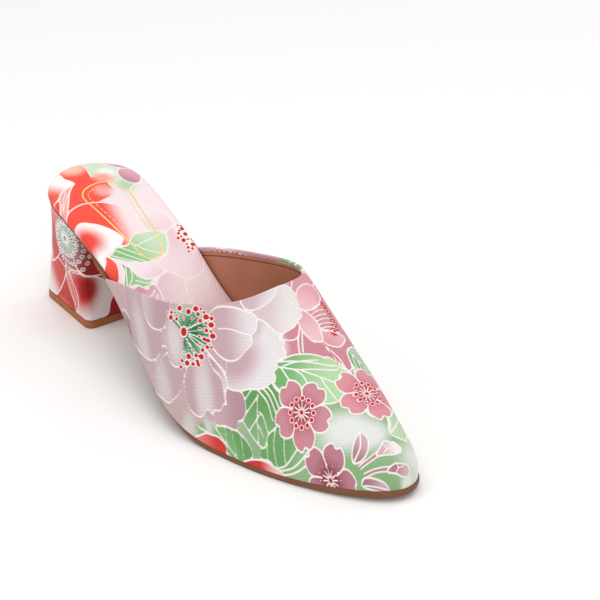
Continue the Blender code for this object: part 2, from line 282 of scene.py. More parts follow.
def layer(x, number):
    """Share of a layer's thickness: 1 for the outsole, 2 for the insole."""
    return np.interp(np.asarray(x) / LAST_LENGTH, column(LAYERS, 0), column(LAYERS, number))


def sole_top(x):
    """Height of the outsole's upper side."""
    return underside(x) + SOLE_THICKNESS * layer(x, 1)


def skin(name, columns, rows, place, numbers=()):
    """Mesh of a grid laid over a form, its seams and poles welded and its faces turned outwards.

    place gives the points (and any numbers that the cover's pattern reads) from two arrays that
    run 0 to 1, round the form and across its rows.
    """
    bm = bmesh.new()
    bmesh.ops.create_grid(bm, x_segments=columns, y_segments=rows, size=0.5)
    mesh = bpy.data.meshes.new(name)
    bm.to_mesh(mesh)
    flat = np.empty(len(mesh.vertices) * 3)
    mesh.vertices.foreach_get("co", flat)
    flat = flat.reshape(-1, 3) + 0.5
    points, *more = place(flat[:, 0], flat[:, 1])
    mesh.vertices.foreach_set("co", (points - (ORIGIN, 0.0, 0.0)).ravel())
    for label, values in zip(numbers, more):
        kind, slot = ATTRIBUTES[values[0].size]
        mesh.attributes.new(label, kind, "POINT").data.foreach_set(slot, values.ravel())
    bm.clear()
    bm.from_mesh(mesh)
    bmesh.ops.remove_doubles(bm, verts=bm.verts[:], dist=WELD)
    bmesh.ops.recalc_face_normals(bm, faces=bm.faces[:])
    bm.to_mesh(mesh)
    bm.free()
    return mesh


def sole_edge(across, along):
    """How far the outsole's edge lies inside the insole's edge at a height in the layer."""
    widened = smooth_step(*WIDENING, along)
    ledge = TOE_LEDGE * smooth_step(LEDGE_START, 1.0, along)
    out = -SEAT_INSET + (SEAT_INSET + WALL + 2.0 * CLEARANCE) * widened + ledge
    waist = widened * smooth_step(*BEVEL_FADE, along)
    bevel = np.interp(across, (0.0, 0.4, 0.85, 1.0), (1.0, 0.5, 0.0, 0.0)) * WAIST_BEVEL * waist
    corner = SOLE_EDGE * np.interp(across, (0.0, 0.15, 0.4, 0.7, 0.88, 1.0), (1.0, 0.3, 0.0, 0.0, 0.2, 0.6))
    return -out + bevel + corner


def drawn_in(edge, inward):
    """Places of an edge, moved by a share of the way to the middle line."""
    x = np.clip(edge[:, 0], *SPINE_ENDS)
    middle = (half_outline(x / LAST_LENGTH, -1) + half_outline(x / LAST_LENGTH, 1)) / 2.0
    return edge + (np.stack([x, middle], 1) - edge) * inward[:, None]


def outsole_place(around, across):
    """Bottom from its spine, edge, and top to the spine again."""
    up, inward = profile(SOLE_PROFILE, across)
    along = (1.0 - np.cos(2.0 * math.pi * around)) / 2.0
    plan = drawn_in(edge_line(around, sole_edge(up, along)), inward)
    return (np.column_stack([plan, underside(plan[:, 0]) + SOLE_THICKNESS * layer(plan[:, 0], 1) * up]),)


def mix_tints(tree, share, first, second):
    """Blend of two colours."""
    inputs = [("Factor", share), ("A", first), ("B", second)]
    return add_node(tree, "ShaderNodeMix", inputs, data_type="RGBA").outputs["Result"]


def raise_surface(tree, shader, height, strength, depth):
    """Fine relief in a surface, on top of any that it has."""
    inputs = [("Height", height), ("Strength", strength), ("Distance", depth)]
    inputs += [("Normal", link.from_socket) for link in shader.inputs["Normal"].links]
    tree.links.new(add_node(tree, "ShaderNodeBump", inputs).outputs["Normal"], shader.inputs["Normal"])


def clouded_material(name, tints, cloud, marks, relief, **settings):
    """Material clouded in two tints, with fine marks in its surface.

    cloud and marks are the scale and detail of a noise, relief the strength and depth of the marks.
    """
    material, tree, shader = new_material(name, **settings)
    place = add_node(tree, "ShaderNodeTexCoord").outputs["Object"]
    noises = []
    for scale, detail in (cloud, marks):
        inputs = [("Vector", place), ("Scale", scale), ("Detail", detail)]
        noises.append(add_node(tree, "ShaderNodeTexNoise", inputs).outputs["Fac"])
    clouds, pits = noises
    tree.links.new(mix_tints(tree, clouds, *map(linear, tints)), shader.inputs["Base Color"])
    raise_surface(tree, shader, pits, *relief)
    return material, tree, shader


# Resin rubber sheet: dull brown, a little mottled, with fine grinding marks
rubber = clouded_material(
    "brown_resin_rubber", ("6A3F29", "875536"), (160.0, 5.0), (1400.0, 2.0), (0.25, 0.0002),
    Roughness=0.62, Specular_IOR_Level=0.4)[0]
outsole = new_piece("sole_sheet", skin("sole_sheet", 520, 48, outsole_place), rubber)
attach(outsole, "root")
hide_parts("outsole")

# Top lift: the tan rubber piece that the heel stands on, pressed into shape with softened edges and
# nailed under the block.
TIP_THICKNESS = 0.0042
TIP_LENGTH = 0.046
TIP_SETBACK = 0.001
TIP_REAR_WIDTH = 0.039
TIP_FRONT_WIDTH = 0.0455
TIP_REAR_CORNER = 0.006
HEEL_CORNER = 0.004
HEEL_LENGTH = 0.042
BACK_STEPS = 110
CORNER_STEPS = 12
BREAST_STEPS = 90
LIFT_PROFILE = (
    # across, inset, height, share of the way to the middle
    (0.0, 0.0006, 0.00, 1.0),
    (0.2, 0.0006, 0.00, 0.0),
    (0.3, 0.0002, 0.04, 0.0),
    (0.4, 0.0000, 0.16, 0.0),
    (0.6, 0.0000, 0.88, 0.0),
    (0.7, 0.0001, 0.97, 0.0),
    (0.8, 0.0003, 1.00, 0.0),
    (1.0, 0.0003, 1.00, 1.0),
)


def arc_lengths(path):
    """Length along a path up to each of its points."""
    return np.concatenate([[0.0], np.cumsum(np.linalg.norm(np.diff(path, axis=0), axis=1))])


def on_path(path, reach, at):
    """Points of a path, at measures between those that reach gives its own points."""
    return np.stack([np.interp(at, reach, path[:, axis]) for axis in (0, 1)], 1)


def heel_ring(path, front):
    """Ring from a path round the heel's back, closed by a straight breast with rounded corners.

    It starts and ends at the middle of the breast and runs over the medial side to the lateral side.
    """
    reach = arc_lengths(path)
    back = on_path(path, reach, np.linspace(0.0, reach[-1], 2 * BACK_STEPS + 1))
    turn = np.linspace(0.0, math.pi / 2.0, CORNER_STEPS + 1)[1:]
    ends = []
    for end, side in ((back[-1], -1), (back[0], 1)):
        centre = end - (0.0, side * HEEL_CORNER)
        ends.append(centre + HEEL_CORNER * np.stack([np.sin(turn), side * np.cos(turn)], 1))
    lateral, medial = ends
    breast = np.linspace(lateral[-1], medial[-1], 2 * BREAST_STEPS + 1)[1:-1]
    half = BREAST_STEPS
    ring = np.concatenate([breast[half - 1:], medial[::-1], back, lateral, breast[:half]])
    ring[:, 0] = np.minimum(ring[:, 0], front)
    return ring


def along_ring(ring, around):
    """Points of a ring at shares of its count."""
    return on_path(ring, np.arange(len(ring)), around * (len(ring) - 1))


turn = np.linspace(0.0, math.pi / 2.0, 17)
corner = np.stack([TIP_SETBACK + TIP_REAR_CORNER * (1.0 - np.sin(turn)),
                   TIP_REAR_WIDTH / 2.0 - TIP_REAR_CORNER + TIP_REAR_CORNER * np.cos(turn)], 1)
TIP_FRONT = TIP_SETBACK + TIP_LENGTH
medial_path = np.concatenate([[(TIP_FRONT - HEEL_CORNER, TIP_FRONT_WIDTH / 2.0)], corner])
tip_ring = heel_ring(np.concatenate([medial_path, medial_path[::-1] * (1.0, -1.0)]), TIP_FRONT)


def top_lift_place(around, across):
    """Ground face from its middle, softened lower edge, wall, softened upper edge, and upper face."""
    inset, up, inward = profile(LIFT_PROFILE, across)
    plan = along_ring(tip_ring, around)
    middle = np.array([TIP_SETBACK + TIP_LENGTH / 2.0, 0.0])
    away = plan - middle
    plan = plan - away * (inset / np.linalg.norm(away, axis=1))[:, None]
    plan = plan + (middle - plan) * inward[:, None]
    return (np.column_stack([plan, TIP_THICKNESS * up]),)


# Pressed rubber: satin tan with a warm tone, faintly clouded
lift_rubber = clouded_material(
    "tan_pressed_rubber", ("96501F", "AF6732"), (220.0, 4.0), (220.0, 4.0), (0.15, 0.0002),
    Roughness=0.48, Specular_IOR_Level=0.45)[0]
top_lift = new_piece("top_lift", skin("top_lift", 260, 40, top_lift_place), lift_rubber)
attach(top_lift, "root")
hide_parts("heel_tip")

# Heel cover: printed synthetic leather drawn tight round a moulded block and glued, with its seam down
# the middle of the breast.
HEEL_INSET = 0.0006
HEEL_FLARE = 0.85
HEEL_MIDDLE = 0.022
HEEL_PROFILE = (
    # across, height, share of the way to the middle
    (0.00, 0.0, 1.0),
    (0.04, 0.0, 0.0),
    (0.96, 1.0, 0.0),
    (1.00, 1.0, 1.0),
)
round_back = np.concatenate([np.linspace(0.75, 1.0, 400)[:-1], np.linspace(0.0, 0.25, 400)])
edge = edge_line(round_back, SEAT_INSET + HEEL_INSET)
head_ring = heel_ring(edge[edge[:, 0] <= HEEL_LENGTH - HEEL_CORNER], HEEL_LENGTH)
heel_low = TIP_THICKNESS + CLEARANCE


def heel_wall(around, up):
    """Points of the block's wall."""
    foot = along_ring(tip_ring, around)
    plan = foot + (along_ring(head_ring, around) - foot) * (up ** HEEL_FLARE)[:, None]
    return np.column_stack([plan, heel_low + (underside(plan[:, 0]) - CLEARANCE - heel_low) * up])


def heel_chart(around, up):
    """Girth from the middle of the back, lateral negative, and height, in millimetres."""
    girths = []
    for ring in (tip_ring, head_ring):
        count = np.arange(len(ring))
        reach = np.interp(np.append(around, 0.5) * count[-1], count, arc_lengths(ring))
        girths.append(reach[-1] - reach[:-1])
    girth = girths[0] + (girths[1] - girths[0]) * up ** HEEL_FLARE
    return np.stack([girth, heel_wall(around, up)[:, 2]], 1) * 1000.0


# The threads of the grain lie this many millimetres apart, coarser than the real 0.7, so that they show
GRAIN = 1.25
LINE_REACH = 1.0                       # mm from a line's middle to where its mark ends
DOT_REACH = 2.5                        # in radii of a dot
VEIN_WEIGHT = 0.8                      # of a leaf's veins beside a full line
KEPT_EDGE = 0.3                        # mm of the marks below that stay inside a petal's edge
CURVE_STEPS = 6                        # from one placed point of a path to the next
TINY = 1e-12                           # keeps a division from meeting zero
FAR = 1e9
PETALS = 5
STAMENS = 12
HEART_WASH = 0.42                      # this and the next three in radii of a blossom
HEART = 0.30
STAMEN_ENDS = (0.10, 0.27)
DOT_RING = 0.40
NOTCHED_PETAL = (
    # outwards and across, in radii of the flower
    (0.08, 0.0), (0.30, 0.24), (0.62, 0.40), (0.86, 0.32), (0.98, 0.15), (0.90, 0.0), (1.00, -0.15),
    (0.86, -0.34), (0.60, -0.40), (0.30, -0.24),
)
BROAD_PETAL = (
    # outwards and across, in radii of the flower
    (0.10, 0.0), (0.35, 0.30), (0.68, 0.46), (0.90, 0.40), (1.00, 0.24), (0.94, 0.10), (1.03, -0.04),
    (0.95, -0.20), (0.93, -0.38), (0.66, -0.47), (0.32, -0.30),
)


def curve(points, closed):
    """Smooth path through a few given points."""
    points = np.array(points, float)
    first, last = points[:1], points[-1:]
    if closed:
        knots = np.concatenate([last, points, points[:2]])
    else:
        knots = np.concatenate([2.0 * first - points[1:2], points, 2.0 * last - points[-2:-1]])
    t = np.linspace(0.0, 1.0, CURVE_STEPS + 1)[:-1, None]
    path = []
    for a, b, c, d in zip(knots, knots[1:], knots[2:], knots[3:]):
        bend, twist = 2 * a - 5 * b + 4 * c - d, 3 * b - a - 3 * c + d
        path.append(0.5 * (2 * b + (c - a) * t + bend * t ** 2 + twist * t ** 3))
    return np.concatenate([*path, path[0][:1] if closed else last])


def nearest_on(path, place):
    """Distance of each place from a path, and length along the path to the point nearest to it."""
    nearest = np.full(len(place), FAR)
    along = np.zeros(len(place))
    for a, b, so_far in zip(path, path[1:], arc_lengths(path)):
        span = b - a
        t = np.clip(((place - a) @ span) / (span @ span + TINY), 0.0, 1.0)
        far = ((place - a - t[:, None] * span) ** 2).sum(1)
        along = np.where(far < nearest, so_far + t * np.linalg.norm(span), along)
        nearest = np.minimum(nearest, far)
    return np.sqrt(nearest), along


def inside_of(path, place):
    """Whether each place lies inside a closed path."""
    inside = np.zeros(len(place), bool)
    for a, b in zip(path, path[1:]):
        crosses = (a[1] > place[:, 1]) != (b[1] > place[:, 1])
        rise = b[1] - a[1] or TINY
        inside ^= crosses & (place[:, 0] < a[0] + (b[0] - a[0]) * (place[:, 1] - a[1]) / rise)
    return inside


def way_to(angle):
    """Direction at an angle."""
    return np.array([math.cos(angle), math.sin(angle)])


def turned(shape, centre, size, way):
    """Outline of a motif, turned, scaled and moved to its place."""
    return [centre + size * np.array([a * way[0] - b * way[1], a * way[1] + b * way[0]]) for a, b in shape]


class Print:
    """Floral print of one cover: its colours, the white resist lines round its motifs, and its dots.

    Places are in millimetres on the cover laid flat. Motifs are laid on one after the other, and each
    hides what lies under it.
    """

    def __init__(self, place, ground):
        self.place = place
        self.colour = np.tile(linear(ground), (len(place), 1))
        self.line = np.zeros(len(place))       # 1 on the middle of a white line
        self.dot = np.zeros(len(place))        # 1 on the middle of a dot

    def near(self, path, reach):
        """Places in a box that goes a little beyond a path."""
        low, high = np.min(path, 0) - reach, np.max(path, 0) + reach
        return np.flatnonzero((self.place >= low).all(1) & (self.place <= high).all(1))

    def away(self, some, centre, turn):
        """How far some places lie from a centre, along a direction and across it."""
        way = way_to(math.radians(turn))
        away = self.place[some] - centre
        return away @ way, away @ (-way[1], way[0])

    def dye(self, some, tint, share):
        """Takes some places a share of the way to a tint."""
        self.colour[some] += (linear(tint) - self.colour[some]) * share[:, None]

    def mark(self, some, far, weight):
        """White line of some weight, from how far some places lie off it."""
        self.line[some] = np.maximum(self.line[some], 1.0 - far / (LINE_REACH * weight))

    def clear(self, centre, reach):
        """Takes the lines off an oval."""
        some = self.near([centre], reach)
        self.line[some[np.linalg.norm((self.place[some] - centre) / reach, axis=1) < 1.0]] = 0.0

    def wash(self, centre, reach, tint, turn=0.0, strength=1.0, within=None):
        """Soft cloud of dye that fades outwards, over some places only if those are given."""
        some = np.arange(len(self.place)) if within is None else within
        along, across = self.away(some, centre, turn)
        self.dye(some, tint, strength * smooth_step(1.0, 0.25, np.hypot(along / reach[0], across / reach[1])))

    def petal(self, points, tint, fade=None, start=None, end=None, edge=1.0):
        """Closed shape in one tint, or fading from start to end into another, with a white edge."""
        path = curve(points, True)
        some = self.near(path, LINE_REACH)
        far, _ = nearest_on(path, self.place[some])
        inside = inside_of(path, self.place[some])
        covered = some[inside]
        self.colour[covered] = linear(tint)
        if fade:
            axis = np.subtract(end, start)
            share = ((self.place[covered] - start) @ axis) / (axis @ axis)
            self.dye(covered, fade, smooth_step(0.0, 1.0, share))
        hidden = some[inside & (far > KEPT_EDGE)]
        self.line[hidden] = 0.0
        self.dot[hidden] = 0.0
        if edge:
            self.mark(some, far, edge)
        return covered

    def lines(self, paths, within=None, weight=1.0):
        """White lines, clipped to some places if those are given."""
        for points in paths:
            path = curve(points, False)
            some = self.near(path, LINE_REACH)
            if within is not None:
                some = np.intersect1d(some, within)
            self.mark(some, nearest_on(path, self.place[some])[0], weight)

    def strokes(self, paths, tint, width):
        """Brush strokes of one dye."""
        for points in paths:
            path = curve(points, False)
            some = self.near(path, width)
            far, _ = nearest_on(path, self.place[some])
            self.dye(some, tint, smooth_step(width / 2.0, width / 5.0, far))

    def veins(self, within, rib, spacing, lean, bend):
        """Side veins of a leaf on both sides of its rib."""
        far, along = nearest_on(curve(rib, False), self.place[within])
        phase = (along - lean * far - bend * far ** 2) / spacing
        off = np.abs(phase - np.round(phase)) * spacing / math.sqrt(1.0 + lean ** 2)
        self.mark(within, off, VEIN_WEIGHT)
        self.lines([rib], within, VEIN_WEIGHT)

    def dots(self, places, radius, stretch=1.0, turn=0.0):
        """Red dots with white rims, drawn out along a direction."""
        reach = DOT_REACH * radius
        for centre in places:
            some = self.near([centre], reach * stretch)
            along, across = self.away(some, centre, turn)
            self.dot[some] = np.maximum(self.dot[some], 1.0 - np.hypot(along / stretch, across) / reach)

    def blossom(self, centre, radius, turn, tint, heart, red=True):
        """Five notched petals round a heart of white stamens with a ring of red dots or of pale ones."""
        centre = np.array(centre, float)
        for k in range(PETALS):
            way = way_to(math.radians(turn + 360.0 / PETALS * k))
            shape = turned(NOTCHED_PETAL, centre, radius, way)
            self.petal(shape, heart, tint, centre, centre + radius * 0.75 * way)
        self.wash(centre, (radius * HEART_WASH, radius * HEART_WASH), heart)
        self.clear(centre, radius * HEART)
        for k in range(STAMENS):
            way = way_to(2.0 * math.pi * (k + 0.5) / STAMENS) * radius
            self.lines([[centre + way * end for end in STAMEN_ENDS]], weight=0.75)
            if red:
                self.dots([centre + way * DOT_RING], 0.85)
            else:
                self.lines([(centre + way * (DOT_RING - 0.01), centre + way * (DOT_RING + 0.01))], weight=0.7)
        self.dots([centre], 0.9)

    def disk(self, centre, reach, tint, knobs=24, lean=(0.0, 0.0)):
        """Disk of fine pale spokes on a tint, in rings of small knobs that lean to one side.

        Its factors are shares of its reach.
        """
        centre, reach, lean = (np.array(pair, float) for pair in (centre, reach, lean))
        self.clear(centre, reach * 0.95)
        self.wash(centre + lean, reach * 1.6, "9C8086", strength=0.9)
        self.wash(centre, reach * 1.2, tint)
        self.wash(centre, reach * 0.9, "3F7A58", strength=0.8)
        for ring, share in enumerate((1.16, 1.0, 0.84)):
            middle = centre + lean * (2 - ring)
            for k in range(knobs):
                knob = middle + reach * share * way_to(2.0 * math.pi * (k + 0.5 * ring) / knobs)
                oval = [knob + reach * ((0.11, 0.085) * way_to(math.radians(a))) for a in range(0, 360, 60)]
                self.petal(oval, "B79FAA", edge=0.65)
        for k in range(knobs + 4):
            way = reach * way_to(2.0 * math.pi * k / (knobs + 4))
            self.strokes([(centre + way * 0.15, centre + way * (0.84 if k % 2 else 0.70))], "F1F4EE", 0.85)
        self.strokes([(centre - (0.4, 0.0), centre + (0.4, 0.0))], "A48F97", 3.0)

    def peony(self, centre, radius, turn, tint, fade, heart):
        """Two rings of broad petals with uneven tips, round a disk of stamens."""
        centre = np.array(centre, float)
        for count, scale, offset in ((7, 1.0, 0.0), (5, 0.66, 20.0)):
            for k in range(count):
                size = radius * scale * (1.0 + 0.06 * (k % 3 - 1))
                way = way_to(math.radians(turn + offset + 360.0 * k / count))
                fading = centre + way * size * 0.45, centre + way * size * 1.05
                self.petal(turned(BROAD_PETAL, centre, size, way), tint, fade, *fading)
        self.disk(centre, (radius * 0.34, radius * 0.34), heart)

    def finished(self):
        """The numbers that the leather reads: dye, line, dot and place."""
        count = len(self.place)
        dye = np.column_stack([self.colour, np.ones(count)])
        return dye, self.line, self.dot, np.column_stack([self.place, np.zeros(count)])


PRINT_NUMBERS = ("dye", "line", "dot", "laid_flat")

# Printed synthetic leather: a polyurethane face on cloth, embossed with a fine woven grain and printed
# before it is cut. Satin, with soft highlights that the grain breaks up.
leather, tree, shader = new_material("printed_synthetic_leather", Roughness=0.44, Specular_IOR_Level=0.28)
dye, line, dot, flat = (add_node(tree, "ShaderNodeAttribute", attribute_name=name) for name in PRINT_NUMBERS)
tint = dye.outputs["Color"]
for number, low, high, code in (
    # the white lines, then a dot's rim and its heart
    (line, 0.52, 0.74, "F1E8E4"),
    (dot, 0.38, 0.45, "F6E3E0"),
    (dot, 0.53, 0.60, "C2101D"),
):
    inputs = [("Value", number.outputs["Fac"]), ("From Min", low), ("From Max", high)]
    share = add_node(tree, "ShaderNodeMapRange", inputs).outputs["Result"]
    tint = mix_tints(tree, share, tint, linear(code))
threads = add_node(tree, "ShaderNodeMapping", [
    ("Vector", flat.outputs["Vector"]), ("Rotation", (0.0, 0.0, math.radians(45.0))),
    ("Scale", (2.0 * math.pi / GRAIN,) * 3)])
split = add_node(tree, "ShaderNodeSeparateXYZ", [(0, threads.outputs[0])])
warp = add_node(tree, "ShaderNodeMath", [(0, split.outputs[0])], operation="SINE")
weft = add_node(tree, "ShaderNodeMath", [(0, split.outputs[1])], operation="SINE")
weave = add_node(tree, "ShaderNodeMath", [(0, warp.outputs[0]), (1, weft.outputs[0])], operation="ADD")
shade = add_node(tree, "ShaderNodeMapRange", [
    ("Value", weave.outputs[0]), ("From Min", -2.0), ("From Max", 2.0), ("To Min", 0.93), ("To Max", 1.03)])
grained = add_node(tree, "ShaderNodeVectorMath", [
    (0, tint), ("Scale", shade.outputs["Result"])], operation="SCALE")
tree.links.new(grained.outputs[0], shader.inputs["Base Color"])
raise_surface(tree, shader, weave.outputs[0], 0.4, 0.0001)


def print_heel(place):
    """Red petals fading to white round disks of pale stamens."""
    p = Print(place, "C4221C")

    # The lateral side and the breast
    p.wash((-38, 4), (12, 6), "DE5A52")
    p.petal([
        (-41, 62), (-24, 62), (-10, 60), (-6, 50), (-8, 38), (-14, 30), (-20.5, 24), (-28, 25.6),
        (-35.5, 31.2), (-40, 40)], "F0938A", "CE332A", (-30, 62), (-28, 44))
    p.wash((-19, 29), (11, 8), "F6EDEB", 30)
    p.petal([
        (-43.6, 28.2), (-42.7, 23.2), (-38, 15.6), (-32.3, 8.4), (-26.1, 3.5), (-16, 2), (-10, 8),
        (-13, 17), (-20.5, 22), (-28.2, 25.4), (-35.5, 30.6)], "D23A31", "F5EAE8", (-33, 20), (-22, 8))
    p.petal([
        (-76.8, 17), (-74.5, 11), (-73, 5.9), (-73, 2), (-92, 2), (-92, 30), (-79, 25)], "A5110F", edge=0.0)
    p.petal([
        (-54, 40), (-55, 35), (-57, 32.4), (-60, 30), (-64, 28.6), (-70, 28), (-80, 29), (-88, 38),
        (-84, 52), (-60, 56)], "A80F0E", "C42019", (-62, 34), (-84, 40))
    main = p.petal([
        (-50.9, 5), (-54.7, 14.5), (-53.9, 19.4), (-50.6, 23.1), (-47.5, 27), (-50, 30.4), (-56, 31.4),
        (-60, 29.4), (-66, 27.6), (-72, 24), (-75, 20), (-76.5, 15.6), (-74.5, 11), (-73, 5.9),
        (-66.2, 4.6), (-58, 4.3)], "E9DEDB")
    p.wash((-57, 22), (16, 19), "C5261F", within=main)
    p.wash((-61.5, 22), (8, 10), "A00B0B", within=main)
    stripe = p.petal([
        (-43.9, 29.7), (-44.3, 21.7), (-47.1, 15.2), (-50.4, 9.7), (-50.9, 4.6), (-53, 8), (-54.7, 14.5),
        (-53.9, 19.4), (-50.6, 23.1), (-46.9, 27.6)], "D8635B")
    p.lines([[(-45, 27), (-47, 20), (-51.5, 10)], [(-46, 27), (-50, 20), (-53, 13)]], stripe, 0.7)

    # The back and the medial side
    p.petal([
        (-2, 44), (6, 40), (16, 42), (24, 50), (26, 62), (2, 62), (-2, 54)],
        "CB2A22", "F9E6E2", (6, 42), (20, 58))
    p.petal([
        (2, 38), (12, 40), (22, 36), (28, 26), (26, 14), (14, 10), (4, 18), (0, 28)],
        "F8E7E4", "C5241D", (24, 22), (8, 30))
    p.petal([
        (24, 50), (34, 44), (44, 46), (52, 54), (54, 62), (26, 62)], "C72B25", "FAEFED", (32, 48), (48, 58))
    p.petal([
        (30, 40), (40, 44), (50, 40), (56, 30), (50, 20), (38, 20), (30, 28)],
        "F6DCD8", "C1221B", (54, 32), (36, 30))
    p.petal([
        (28, 18), (38, 19), (50, 19), (58, 12), (60, 2), (30, 2), (24, 8)],
        "C1221B", "F7E1DD", (36, 18), (50, 4))
    p.petal([(2, 16), (10, 10), (22, 10), (26, 2), (-4, 2), (-4, 10)], "C92D25", "F9ECE9", (6, 14), (16, 2))
    leaf = p.petal([
        (54, 58), (62, 54), (72, 56), (84, 48), (84, 30), (72, 28), (60, 34), (54, 44)],
        "6FA765", "B3CFA8", (58, 42), (80, 46))
    p.veins(leaf, [(55, 40), (68, 44), (84, 42)], 5.0, 0.9, 0.02)
    p.petal([
        (58, 32), (70, 27), (84, 28), (84, 2), (60, 2), (56, 16)], "E0B2B7", "C07783", (62, 28), (76, 6))

    for centre, reach, lean in (
        ((-46, 46.5), (11.5, 11), (-2.2, -1.8)),
        ((-3, 34), (9, 11), (1, -1)),
        ((30, 32), (9, 9), (0, -1)),
    ):
        p.disk(centre, reach, "86A593", 22, lean)
    return p


def heel_place(around, across):
    """Foot of the block from its middle, wall and head."""
    up, inward = profile(HEEL_PROFILE, across)
    wall = heel_wall(around, up)
    middle = wall * (0.0, 0.0, 1.0) + (HEEL_MIDDLE, 0.0, 0.0)
    return (wall + (middle - wall) * inward[:, None], *print_heel(heel_chart(around, up)).finished())


heel_cover = new_piece("heel_cover", skin("heel_cover", 400, 130, heel_place, PRINT_NUMBERS), leather)
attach(heel_cover, "root")
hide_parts("heel_block")

# Padded insole: printed synthetic leather drawn over thin foam and a board, its edge rounded and turned
# under. It is glued on the outsole and runs on inside the upper.
INSOLE_THICKNESS = 0.0042
INSOLE_PROFILE = (
    # across, inset, height, share of the way to the spine
    (0.000, 0.0006, 0.00, 1.0),
    (0.040, 0.0006, 0.00, 0.0),
    (0.055, 0.0002, 0.08, 0.0),
    (0.070, 0.0000, 0.25, 0.0),
    (0.085, 0.0000, 0.45, 0.0),
    (0.100, 0.0002, 0.64, 0.0),
    (0.115, 0.0006, 0.80, 0.0),
    (0.130, 0.0012, 0.91, 0.0),
    (0.145, 0.0020, 0.97, 0.0),
    (0.165, 0.0032, 0.995, 0.0),
    (0.185, 0.0045, 1.00, 0.0),
    (1.000, 0.0045, 1.00, 1.0),
)
# Shares of the columns, and how far round the edge they lie: closer together on the seat
INSOLE_COLUMNS = ((0.0, 0.44, 0.5, 0.56, 1.0), (0.0, 0.2986, 0.5, 0.7014, 1.0))


def seat(x):
    """Height at which the insole lies on the outsole."""
    return sole_top(x) + CLEARANCE


